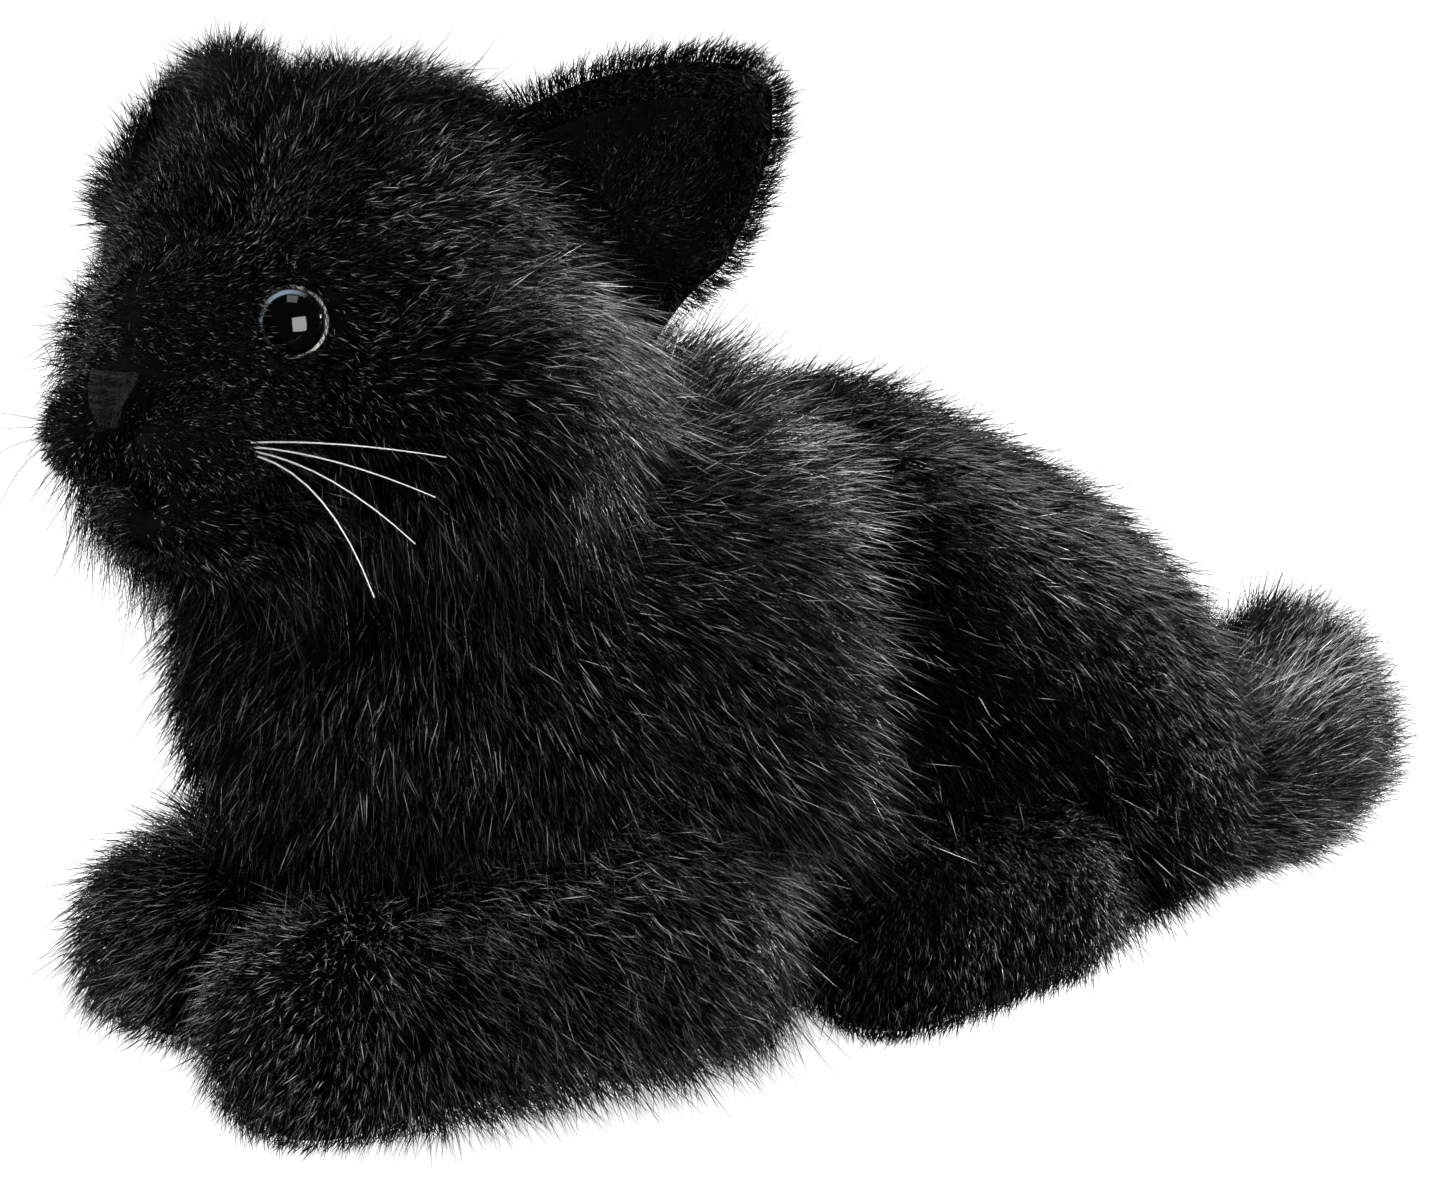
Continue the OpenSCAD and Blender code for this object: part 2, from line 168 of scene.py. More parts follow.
def turn_matrix(degrees: Sequence[float]) -> Array:
    """Makes the matrix of a turn about X, then Y, then Z.

    Args:
        degrees: the three angles.

    Returns:
        A 3 by 3 matrix.
    """
    a, b, c = (math.radians(d) for d in degrees)
    about_x = np.array([[1, 0, 0], [0, math.cos(a), -math.sin(a)], [0, math.sin(a), math.cos(a)]])
    about_y = np.array([[math.cos(b), 0, math.sin(b)], [0, 1, 0], [-math.sin(b), 0, math.cos(b)]])
    about_z = np.array([[math.cos(c), -math.sin(c), 0], [math.sin(c), math.cos(c), 0], [0, 0, 1]])
    return about_z @ about_y @ about_x


HEAD_TURN = turn_matrix(HEAD_TURN_DEG)


def to_head(p: Array) -> Array:
    """Row frame points in mm as points of the head's own frame."""
    return (p - HEAD_MID) @ HEAD_TURN


def waves(p: Array, size: float, seed: int) -> Array:
    """Smooth noise from about -1 to 1 at points in mm.

    Args:
        p: the points.
        size: the distance between crests, in mm.
        seed: which noise.

    Returns:
        One number for each point.
    """
    rng = np.random.default_rng(seed)
    total = np.zeros(len(p))
    for _ in range(6):
        k = unit(rng.normal(size=3)) * (2 * math.pi / size) * rng.uniform(0.7, 1.4)
        total += np.sin(p @ k + rng.uniform(0, 2 * math.pi))
    return total / 3.0


def only(*objects: bpy.types.Object) -> None:
    """Selects these objects and nothing else.

    Args:
        objects: what to select; the first one is made active.
    """
    bpy.ops.object.select_all(action="DESELECT")
    for o in objects:
        o.select_set(True)
    bpy.context.view_layer.objects.active = objects[0]


def apply_modifier(obj: bpy.types.Object, kind: str, **settings: object) -> None:
    """Adds a modifier and applies it.

    Args:
        obj: the object to change.
        kind: the modifier's type.
        settings: the modifier's own properties.
    """
    only(obj)
    bpy.ops.object.modifier_add(type=kind)
    modifier = obj.modifiers[-1]
    for name, value in settings.items():
        setattr(modifier, name, value)
    bpy.ops.object.modifier_apply(modifier=modifier.name)


def points_of(obj: bpy.types.Object) -> Array:
    """Reads an object's vertices.

    Args:
        obj: a mesh object at the origin.

    Returns:
        One row for each vertex, in mm.
    """
    co = np.zeros(len(obj.data.vertices) * 3)
    obj.data.vertices.foreach_get("co", co)
    return co.reshape(-1, 3) / MM


def normals_of(obj: bpy.types.Object) -> Array:
    """Reads an object's vertex normals.

    Args:
        obj: a mesh object.

    Returns:
        One row for each vertex.
    """
    made = np.zeros(len(obj.data.vertices) * 3)
    obj.data.vertex_normals.foreach_get("vector", made)
    return made.reshape(-1, 3)


def set_points(obj: bpy.types.Object, p: Array) -> None:
    """Moves the object's vertices to points in mm."""
    obj.data.vertices.foreach_set("co", (p * MM).ravel())
    obj.data.update()


# ---- finishes ----


@dataclass(frozen=True)
class PileFinish:
    """Acrylic plush pile: fine glossy filaments, black at the root and a little browner at the tip, with
    short pale dashes on some filaments as painted glints.
    """

    name: str
    root: str = "010101"
    tip: str = "070606"
    # the pale colour, its share and the pale_ fields set the painted glints: short pale dashes that stand
    # in for highlights on the filaments
    pale: str = "dcd5cf"
    pale_share: float = 0.16
    rough: float = 0.16
    gloss: float = 0.2
    patch_mm: float = 22.0
    pale_most: float = 0.9
    pale_from: float = 0.45
    pale_to: float = 0.9
    pale_core: float = 0.04
    pale_edge: float = 0.16
    scatter: float = 57.0
    rough_spread: float = 0.25

    def material(self) -> bpy.types.Material:
        """Builds the material, which reads each filament's own along and tone attributes.

        Returns:
            The new material.
        """
        made = bpy.data.materials.new(self.name)
        made.use_nodes = True
        tree = made.node_tree
        shader = tree.nodes["Principled BSDF"]
        along = add_node(tree, "Attribute", attribute_name="along")
        tone = add_node(tree, "Attribute", attribute_name="tone")
        place = add_node(tree, "TexCoord")
        # patches about two centimetres across, where the painted glints vary in strength
        patch = add_node(tree, "TexNoise", {"Vector": place.outputs["Object"],
                                            "Scale": 1 / (self.patch_mm * MM), "Detail": 2.0})
        body = add_node(tree, "Mix", {"Factor": along.outputs["Fac"], 6: linear(self.root),
                                      7: linear(self.tip)}, data_type="RGBA")
        picked = add_node(tree, "MapRange", {"Value": tone.outputs["Fac"],
                                             "From Min": 1 - self.pale_share * 1.6,
                                             "From Max": 1.0, "To Max": self.pale_most})
        # each filament picked for a painted glint is pale over a short length only, at its own height: a
        # painted highlight
        often = add_node(tree, "Math", {0: tone.outputs["Fac"], 1: self.scatter}, operation="MULTIPLY")
        own = add_node(tree, "Math", {0: often.outputs[0]}, operation="FRACT")
        height = add_node(tree, "MapRange", {"Value": own.outputs[0], "To Min": self.pale_from,
                                             "To Max": self.pale_to})
        off = add_node(tree, "Math", {0: along.outputs["Fac"], 1: height.outputs[0]},
                       operation="SUBTRACT")
        far = add_node(tree, "Math", {0: off.outputs[0]}, operation="ABSOLUTE")
        dash = add_node(tree, "MapRange", {"Value": far.outputs[0], "From Min": self.pale_core,
                                           "From Max": self.pale_edge, "To Min": 1.0, "To Max": 0.0})
        painted_glint = add_node(tree, "Math", {0: picked.outputs[0], 1: dash.outputs[0]}, operation="MULTIPLY")
        strong = add_node(tree, "MapRange", {"Value": patch.outputs["Fac"], "From Min": 0.35,
                                             "From Max": 0.65, "To Min": 0.25, "To Max": 1.0})
        share = add_node(tree, "Math", {0: painted_glint.outputs[0], 1: strong.outputs[0]}, operation="MULTIPLY")
        colour = add_node(tree, "Mix", {"Factor": share.outputs[0], 6: body.outputs[2],
                                        7: linear(self.pale)}, data_type="RGBA")
        rough = add_node(tree, "MapRange", {"Value": tone.outputs["Fac"], "To Max": self.rough,
                                            "To Min": self.rough + self.rough_spread})
        tree.links.new(colour.outputs[2], shader.inputs["Base Color"])
        tree.links.new(rough.outputs[0], shader.inputs["Roughness"])
        shader.inputs["Specular IOR Level"].default_value = self.gloss
        shader.inputs["IOR"].default_value = 1.5
        return made


@dataclass(frozen=True)
class ClothFinish:
    """Knitted polyester backing or velour: matt, with a fine knit or nap."""

    name: str
    colour: str
    second: str
    grain_mm: float = 0.8
    rough: float = 0.95
    sheen: float = 0.0
    bump_mm: float = 0.15
    glow: float = 0.0

    def material(self) -> bpy.types.Material:
        """Builds the material from noise at the grain's size and broad soft patches.

        Returns:
            The new material.
        """
        made = bpy.data.materials.new(self.name)
        made.use_nodes = True
        tree = made.node_tree
        shader = tree.nodes["Principled BSDF"]
        place = add_node(tree, "TexCoord")
        grain = add_node(tree, "TexNoise", {"Vector": place.outputs["Object"],
                                            "Scale": 1 / (self.grain_mm * MM), "Detail": 3.0})
        broad = add_node(tree, "TexNoise", {"Vector": place.outputs["Object"],
                                            "Scale": 90.0, "Detail": 2.0})
        both = add_node(tree, "Math", {0: grain.outputs["Fac"], 1: broad.outputs["Fac"]},
                        operation="MULTIPLY")
        spread = add_node(tree, "MapRange", {"Value": both.outputs[0], "From Min": 0.12, "From Max": 0.4})
        colour = add_node(tree, "Mix", {"Factor": spread.outputs[0], 6: linear(self.colour),
                                        7: linear(self.second)}, data_type="RGBA")
        bump = add_node(tree, "Bump", {"Height": grain.outputs["Fac"], "Strength": 0.6,
                                       "Distance": self.bump_mm * MM})
        tree.links.new(colour.outputs[2], shader.inputs["Base Color"])
        tree.links.new(bump.outputs[0], shader.inputs["Normal"])
        shader.inputs["Roughness"].default_value = self.rough
        shader.inputs["Sheen Weight"].default_value = self.sheen
        shader.inputs["Sheen Roughness"].default_value = 0.4
        shader.inputs["Specular IOR Level"].default_value = 0.08
        if self.glow:
            shader.inputs["Emission Color"].default_value = (1.0, 1.0, 1.0, 1.0)
            shader.inputs["Emission Strength"].default_value = self.glow
        return made


@dataclass(frozen=True)
class GlossFinish:
    """Moulded plastic or drawn nylon: smooth, with a faint flow in its colour."""

    name: str
    colour: str
    second: str
    rough: float = 0.2
    ior: float = 1.5
    clear: float = 0.0
    flow_mm: float = 3.0

    def material(self) -> bpy.types.Material:
        """Builds the material; clear is how much light passes through.

        Returns:
            The new material.
        """
        made = bpy.data.materials.new(self.name)
        made.use_nodes = True
        tree = made.node_tree
        shader = tree.nodes["Principled BSDF"]
        place = add_node(tree, "TexCoord")
        flow = add_node(tree, "TexNoise", {"Vector": place.outputs["Object"],
                                           "Scale": 1 / (self.flow_mm * MM), "Detail": 2.0})
        colour = add_node(tree, "Mix", {"Factor": flow.outputs["Fac"], 6: linear(self.colour),
                                        7: linear(self.second)}, data_type="RGBA")
        tree.links.new(colour.outputs[2], shader.inputs["Base Color"])
        shader.inputs["Roughness"].default_value = self.rough
        shader.inputs["IOR"].default_value = self.ior
        shader.inputs["Transmission Weight"].default_value = self.clear
        return made


@dataclass(frozen=True)
class EyeFinish:
    """Polished acrylic over a printed ring: black glass with a pale blue-grey crescent of the ring
    painted on, pale on one side only as painted light.
    """

    name: str
    side: Side
    black: str = "010102"
    ring: str = "aac6d8"
    ring_in_mm: float = 5.35
    ring_out_mm: float = 5.85
    edge_mm: float = 0.25
    matt_from_mm: float = 5.95
    matt_to_mm: float = 6.2
    polish: float = 0.04

    def material(self) -> bpy.types.Material:
        """Builds the material; the ring is measured from the eye's own axis.

        Returns:
            The new material.
        """
        mirror = np.array([self.side.value, 1.0, 1.0])
        centre = (HEAD_TURN @ (EYE_SEAT * mirror) + HEAD_MID) * MM
        axis = HEAD_TURN @ (EYE_LOOK * mirror)
        # the ring is painted pale only on its side towards the nose and the brow, as painted light
        bright = HEAD_TURN @ (unit(np.array([-0.75, -0.3, 0.55])) * mirror)
        made = bpy.data.materials.new(self.name)
        made.use_nodes = True
        tree = made.node_tree
        shader = tree.nodes["Principled BSDF"]
        place = add_node(tree, "TexCoord")
        arm = add_node(tree, "VectorMath", {0: place.outputs["Object"], 1: tuple(centre)},
                       operation="SUBTRACT")
        high = add_node(tree, "VectorMath", {0: arm.outputs[0], 1: tuple(axis)},
                        operation="DOT_PRODUCT")
        lift = add_node(tree, "VectorMath", {0: tuple(axis), "Scale": high.outputs["Value"]},
                        operation="SCALE")
        flat = add_node(tree, "VectorMath", {0: arm.outputs[0], 1: lift.outputs[0]},
                        operation="SUBTRACT")
        far = add_node(tree, "VectorMath", {0: flat.outputs[0]}, operation="LENGTH")
        inner = add_node(tree, "MapRange", {"Value": far.outputs["Value"],
                                            "From Min": (self.ring_in_mm - self.edge_mm) * MM,
                                            "From Max": self.ring_in_mm * MM})
        outer = add_node(tree, "MapRange", {"Value": far.outputs["Value"],
                                            "From Min": self.ring_out_mm * MM,
                                            "From Max": (self.ring_out_mm + self.edge_mm) * MM,
                                            "To Min": 1.0, "To Max": 0.0})
        aim = add_node(tree, "VectorMath", {0: flat.outputs[0], 1: tuple(bright / MM / self.ring_out_mm)},
                       operation="DOT_PRODUCT")
        lit = add_node(tree, "MapRange", {"Value": aim.outputs["Value"], "From Min": 0.05,
                                          "From Max": 0.8})
        band = add_node(tree, "Math", {0: inner.outputs[0], 1: outer.outputs[0]}, operation="MULTIPLY")
        mask = add_node(tree, "Math", {0: band.outputs[0], 1: lit.outputs[0]}, operation="MULTIPLY")
        colour = add_node(tree, "Mix", {"Factor": mask.outputs[0], 6: linear(self.black),
                                        7: linear(self.ring)}, data_type="RGBA")
        tree.links.new(colour.outputs[2], shader.inputs["Base Color"])
        # the dome is polished up to its rim, which the mould left matt
        matt = add_node(tree, "MapRange", {"Value": far.outputs["Value"], "To Min": self.polish,
                                           "From Min": self.matt_from_mm * MM,
                                           "From Max": self.matt_to_mm * MM})
        tree.links.new(matt.outputs[0], shader.inputs["Roughness"])
        shader.inputs["IOR"].default_value = 1.49
        return made


@dataclass
class Wardrobe:
    """All the finishes of the cat; each material is made once."""

    # long acrylic pile: deep black, with short painted glints on some filaments
    body_pile: PileFinish = PileFinish("acrylic_long_pile")
    # short pile of the head and feet: blacker, with fewer glints
    face_pile: PileFinish = PileFinish("acrylic_short_pile", tip="060505", pale="cdc6c0",
                                       pale_share=0.15, gloss=0.17)
    # ear pile: a warmer black, with brown painted glints near the tips
    ear_pile: PileFinish = PileFinish("acrylic_ear_pile", tip="0c0a09", pale="94857b",
                                      pale_share=0.1, rough=0.25, gloss=0.15)
    # foreleg pile: the most painted glints and the most gloss, as painted light on the legs
    foreleg_pile: PileFinish = PileFinish("acrylic_foreleg_pile_painted_light", pale_share=0.22, gloss=0.4)
    # back pile: the same fabric with a darker tip, fewer painted glints and less gloss, as painted shade
    # on the back
    back_pile: PileFinish = PileFinish("acrylic_back_pile", tip="030303", pale_share=0.07, gloss=0.06)
    # pile under the ruff: the same fabric with a darker tip, fewer and dimmer painted glints and less
    # gloss, as painted shade under the ruff
    under_pile_painted_shade: PileFinish = PileFinish("acrylic_under_pile_painted_shade", tip="040404", pale="a09890",
                                        pale_share=0.06, gloss=0.12)
    # nap of the velour and the flock: too short to shine, with faint dark-grey dashes as painted glints
    nap: PileFinish = PileFinish("velour_nap", root="010102", tip="020203", pale="16161c",
                                 pale_share=0.05, rough=0.6, gloss=0.08)
    # knitted backing of the fur fabric: black, so that partings stay dark
    backing: ClothFinish = ClothFinish("knitted_polyester_backing", "020202", "050504")
    # short velour of the ear linings: blue-black and matt
    velour: ClothFinish = ClothFinish("polyester_velour", "020203", "050507", 0.4, 0.9, 0.02, 0.1)
    # nylon flock of the nose: dark grey and matt
    flock: ClothFinish = ClothFinish("nylon_flock", "191919", "2a2929", 0.35, 0.7, 0.05, 0.12)
    # polished acrylic domes of the safety eyes: black, with the pale ring painted near the rim as a thin
    # crescent, pale on one side only as painted light
    lens_left: EyeFinish = EyeFinish("polished_acrylic_eye_left", Side.LEFT)
    lens_right: EyeFinish = EyeFinish("polished_acrylic_eye_right", Side.RIGHT)
    # paint on the ring under the lens: near black, so that only the crescent painted on the dome shows
    iris: GlossFinish = GlossFinish("iris_ring_paint", "10161b", "0a0e12", 0.35, 1.45, 0.0, 1.2)
    # black polypropylene of the eye's plate and stem, seen as the pupil
    pupil: GlossFinish = GlossFinish("black_polypropylene", "010101", "030304", 0.6, 1.3)
    # undyed polyethylene of the washers: milky and waxy
    washer: GlossFinish = GlossFinish("natural_polyethylene", "d9d9d2", "cfcfc8", 0.5, 1.51)
    # drawn nylon monofilament of the whiskers: white and slightly clear
    whisker: GlossFinish = GlossFinish("nylon_monofilament", "f4f4f2", "e4e4e2", 0.3, 1.53, 0.1, 6.0)
    # matt seamless studio floor: white, with its own even glow
    floor: ClothFinish = ClothFinish("matt_studio_floor", "eeeeed", "f2f2f1", 2.0, 0.9, 0.0, 0.02, 0.8)
    made: dict[str, bpy.types.Material] = field(default_factory=dict, init=False)

    def take(self, name: str) -> bpy.types.Material:
        """The material of the field of that name, made the first time it is taken."""
        if name not in self.made:
            self.made[name] = getattr(self, name).material()
        return self.made[name]


# ---- skins: the stuffed shapes that the pile grows on ----


@dataclass
class Skin:
    """A stuffed fabric skin made from the CAD's own panels and filling.

    The CAD surface is where the pile ends, so the skin lies inset below it.
    """

    name: str
    body: str
    nodes: tuple[str, ...]
    slot: str
    inset_mm: float
    voxel_mm: float = 4.0
    smooth: int = 8
    puff_cap_mm: float = 2.0
    fill: float = 0.7
    shape: Callable[[Array, Array], Array] | None = None
    mould: Callable[[Array], Array] | None = None
    obj: bpy.types.Object | None = field(default=None, init=False)

    def build(self, finish: bpy.types.Material) -> bpy.types.Object:
        """Copies, merges, remeshes, insets, puffs and smooths the form.

        Args:
            finish: the backing's material.

        Returns:
            The finished piece, riding on its body.
        """
        copies = []
        for node in self.nodes:
            copy = bpy.data.objects.new(node + "_copy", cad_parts[node].data.copy())
            bpy.context.scene.collection.objects.link(copy)
            copies.append(copy)
        only(*copies)
        if len(copies) > 1:
            bpy.ops.object.join()
        made = bpy.context.view_layer.objects.active
        made.name = self.name
        made.data.name = self.name
        bpy.ops.object.mode_set(mode="EDIT")
        bpy.ops.mesh.select_all(action="SELECT")
        bpy.ops.mesh.remove_doubles(threshold=MERGE_MM * MM)
        bpy.ops.object.mode_set(mode="OBJECT")
        made.data.remesh_voxel_size = self.voxel_mm * MM
        bpy.ops.object.voxel_remesh()
        made = self._largest(made)
        if self.smooth:
            apply_modifier(made, "SMOOTH", factor=0.5, iterations=self.smooth)
        p, n = points_of(made), normals_of(made)
        depth = np.full(len(p), self.inset_mm)
        if self.shape is not None:
            depth = depth - self.shape(p, n)
        p = p - n * depth[:, None]
        set_points(made, p if self.mould is None else self.mould(p))
        apply_modifier(made, "SMOOTH", factor=0.5, iterations=2)
        if self.puff_cap_mm:
            self._puff(made)
        if self.voxel_mm < FINE_VOXEL_MM:
            apply_modifier(made, "SUBSURF", levels=1, render_levels=1)
        p = points_of(made)
        p[:, 2] = np.maximum(p[:, 2], FLOOR_LIFT)
        set_points(made, p)
        only(made)
        bpy.ops.object.shade_smooth()
        made.data.materials.clear()
        made.data.materials.append(finish)
        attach(made, self.body)
        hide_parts(*self.nodes)
        self.obj = made
        LOG.info("%s: %d faces", self.name, len(made.data.polygons))
        return made

    def _largest(self, made: bpy.types.Object) -> bpy.types.Object:
        """Keeps the largest loose part of a remeshed form and removes bubbles inside it.

        Args:
            made: the remeshed form.

        Returns:
            The object that holds the largest part.
        """
        only(made)
        bpy.ops.object.mode_set(mode="EDIT")
        bpy.ops.mesh.select_all(action="SELECT")
        bpy.ops.mesh.separate(type="LOOSE")
        bpy.ops.object.mode_set(mode="OBJECT")
        parts = sorted(bpy.context.selected_objects, key=lambda o: len(o.data.polygons))
        for small in parts[:-1]:
            bpy.data.objects.remove(small)
        parts[-1].name = self.name
        return parts[-1]

    def _puff(self, made: bpy.types.Object) -> None:
        """Blows the skin up as cloth, no further than the cap.

        Args:
            made: the skin to puff.
        """
        before = points_of(made)
        only(made)
        bpy.ops.object.modifier_add(type="CLOTH")
        cloth = made.modifiers[-1]
        cloth.settings.use_pressure = True
        cloth.settings.uniform_pressure_force = PUFF_PRESSURE
        cloth.settings.effector_weights.gravity = 0.0
        cloth.settings.quality = 4
        scene = bpy.context.scene
        for step in range(1, PUFF_FRAMES + 1):
            scene.frame_set(step)
        bpy.ops.object.modifier_apply(modifier=cloth.name)
        scene.frame_set(1)
        after = points_of(made)
        move = after - before
        size = np.linalg.norm(move, axis=1, keepdims=True)
        set_points(made, before + move * np.minimum(1.0, self.puff_cap_mm / np.maximum(size, 1e-6)))


# ---- pile ----


@dataclass
class Lie:
    """How the pile lies at each root: one row or number for each."""

    length: Array
    lean: Array
    comb: Array
    share: Array
    droop: Array
    clump: Array


LieRule = Callable[[Array, Array], Lie]


@dataclass
class Pile:
    """The filaments of one piece of fur fabric, as closed spindles of six triangles."""

    name: str
    body: str
    slot: str
    skin: Skin
    count: int
    rule: LieRule
    seed: int
    radius_mm: float = 0.125
    clump_mm: float = 5.5
    where: Callable[[Array], Array] | None = None

    def build(self, finish: bpy.types.Material) -> bpy.types.Object:
        """Grows the filaments and makes them one piece.

        Args:
            finish: the pile's material.

        Returns:
            The piece, riding on its body.
        """
        rng = np.random.default_rng(self.seed)
        roots, normals = self._roots(rng)
        verts, along, tone = self._grow(roots, normals, rng)
        made = self._mesh(verts, along, tone)
        made.data.materials.append(finish)
        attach(made, self.body)
        LOG.info("%s: %d filaments", self.name, self.count)
        return made

    def _roots(self, rng: np.random.Generator) -> tuple[Array, Array]:
        """Picks roots on the skin by area and by the rule's share.

        Args:
            rng: the seeded random source.

        Returns:
            The root points and the skin's normals there.
        """
        mesh = self.skin.obj.data
        mesh.calc_loop_triangles()
        tri = np.zeros(len(mesh.loop_triangles) * 3, np.int64)
        mesh.loop_triangles.foreach_get("vertices", tri)
        tri = tri.reshape(-1, 3)
        p, n = points_of(self.skin.obj), normals_of(self.skin.obj)
        share = np.clip(self.rule(p, n).share, 0.0, 1.0)
        a, b, c = p[tri[:, 0]], p[tri[:, 1]], p[tri[:, 2]]
        weight = np.linalg.norm(np.cross(b - a, c - a), axis=1) * share[tri].mean(axis=1)
        if self.where is not None:
            weight = weight * self.where((a + b + c) / 3)
        total = np.cumsum(weight)
        pick = np.searchsorted(total, rng.random(self.count) * total[-1])
        u, v = rng.random(self.count), rng.random(self.count)
        flip = u + v > 1
        u[flip], v[flip] = 1 - u[flip], 1 - v[flip]
        w = np.stack([1 - u - v, u, v], axis=1)[:, :, None]
        return (p[tri[pick]] * w).sum(axis=1), unit((n[tri[pick]] * w).sum(axis=1))

    def _grow(self, roots: Array, n: Array, rng: np.random.Generator) -> tuple[Array, Array, Array]:
        """Works out every filament's five points, in mm.

        Args:
            roots: the root points.
            n: the skin's normals there.
            rng: the seeded random source.

        Returns:
            The points, and each point's along and tone.
        """
        lie = self.rule(roots, n)
        count = len(roots)
        g = unit(lie.comb - n * (lie.comb * n).sum(axis=1, keepdims=True))
        s = np.cross(n, g)
        swirl = np.radians(SWIRL_DEG[0] * rng.normal(size=count)
                           + SWIRL_DEG[1] * waves(roots, SWIRL_MM[0], self.seed + 1)
                           + SWIRL_DEG[2] * waves(roots, SWIRL_MM[1], self.seed + 3))[:, None]
        g = g * np.cos(swirl) + s * np.sin(swirl)
        lean = np.radians(np.clip(lie.lean + LEAN_DEG[0] * rng.normal(size=count)
                                  + LEAN_DEG[1] * waves(roots, LEAN_MM, self.seed + 2), 2, 86))[:, None]
        first = n * np.cos(lean * 0.7) + g * np.sin(lean * 0.7)
        last_lean = np.minimum(lean * 1.25, math.radians(88))
        last = n * np.cos(last_lean) + g * np.sin(last_lean)
        last[:, 2] -= lie.droop
        last = unit(last)
        stray = rng.random(count) < STRAY_SHARE
        length = lie.length * np.clip(1 + LENGTH_SPREAD * rng.normal(size=count), 0.35, 1.6)
        length[stray] *= 1.2
        length *= SHORTEST_AT_FLOOR + (1 - SHORTEST_AT_FLOOR) * ramp(roots[:, 2], 2, 24)
        length = length[:, None]
        pull = self._to_clump(roots, n) * lie.clump[:, None]
        pull[stray] = rng.normal(size=(int(stray.sum()), 3)) * 0.8
        middle = roots + first * length * BEND + pull * 0.3
        tip = middle + last * length * (1 - BEND) + pull * 0.6
        axis = unit(tip - roots)
        across = unit(np.cross(axis, n) + 1e-6)
        up = np.cross(axis, across)
        tone = rng.random(count)
        radius = (self.radius_mm * rng.uniform(0.75, 1.25, count))[:, None]
        verts = np.zeros((count, 5, 3))
        verts[:, 0] = roots - n * ROOT_DEPTH
        for k in range(3):
            angle = 2 * math.pi * k / 3
            verts[:, 1 + k] = middle + radius * (math.cos(angle) * across + math.sin(angle) * up)
        verts[:, 4] = tip
        low = FLOOR_CLEAR + 0.6 * rng.random(count)
        verts[:, 4, 2] = np.maximum(verts[:, 4, 2], low)
        verts[:, 1:4, 2] = np.maximum(verts[:, 1:4, 2], (low + 0.15)[:, None])
        along = np.tile([0.0, BEND, BEND, BEND, 1.0], count)
        return verts, along, np.repeat(tone, 5)

    def _to_clump(self, roots: Array, n: Array) -> Array:
        """Finds the sideways step from each root to the middle of its tuft.

        Args:
            roots: the root points.
            n: the skin's normals there.

        Returns:
            One step for each root, in mm.
        """
        cell = self.clump_mm
        base = np.floor(roots / cell).astype(np.int64)
        best = np.full(len(roots), 1e9)
        step = np.zeros_like(roots)
        for i in (-1, 0, 1):
            for j in (-1, 0, 1):
                for k in (-1, 0, 1):
                    at = base + (i, j, k)
                    mixed = self.seed
                    for axis, prime in enumerate(CELL_PRIMES):
                        mixed = mixed ^ (at[:, axis] * prime)
                    jitter = np.stack([((mixed >> b) & 1023) / 1023.0 for b in (2, 11, 20)], axis=1)
                    to = (at + jitter) * cell - roots
                    to = to - n * (to * n).sum(axis=1, keepdims=True)
                    far = np.linalg.norm((at + jitter) * cell - roots, axis=1)
                    near = far < best
                    best[near], step[near] = far[near], to[near]
        return step

    def _mesh(self, verts: Array, along: Array, tone: Array) -> bpy.types.Object:
        """Makes the closed spindles one mesh object.

        Args:
            verts: five points for each filament, in mm.
            along: each point's place between root and tip.
            tone: each point's tone, the same all along a filament.

        Returns:
            The new object.
        """
        count = len(verts)
        loops = (np.array(SPINDLE)[None] + 5 * np.arange(count)[:, None, None]).reshape(-1)
        mesh = bpy.data.meshes.new(self.name)
        mesh.vertices.add(count * 5)
        mesh.vertices.foreach_set("co", (verts * MM).astype(np.float32).ravel())
        mesh.loops.add(len(loops))
        mesh.loops.foreach_set("vertex_index", loops.astype(np.int32))
        mesh.polygons.add(len(loops) // 3)
        mesh.polygons.foreach_set("loop_start", np.arange(0, len(loops), 3, dtype=np.int32))
        mesh.polygons.foreach_set("use_smooth", np.ones(len(loops) // 3, bool))
        mesh.update(calc_edges=True)
        for name, values in (("along", along), ("tone", tone)):
            attribute = mesh.attributes.new(name, "FLOAT", "POINT")
            attribute.data.foreach_set("value", values.astype(np.float32))
        made = bpy.data.objects.new(self.name, mesh)
        bpy.context.scene.collection.objects.link(made)
        return made


# ---- how the pile lies on each part ----


def rows(n: int, x: Array | float, y: Array | float, z: Array | float) -> Array:
    """Directions from three numbers or arrays."""
    return np.stack([np.broadcast_to(v, n).astype(float) for v in (x, y, z)], axis=1)


def evenly(n: int, length: float, lean: float) -> tuple[Array, Array]:
    """The same length and lean for every one of n filaments."""
    return np.full(n, length), np.full(n, lean)


def clear_of_floor(n: Array, low: float, high: float, most: float) -> Array:
    """The share of pile that grows where the skin turns down to the floor."""
    return 1 - most * ramp(n[:, 2], low, high)


def mouth_height(x: Array, z: Array) -> Array:
    """How far a point of the head is over the mouth, which drops to its corners, in mm."""
    return z + 29 + 0.012 * x * x


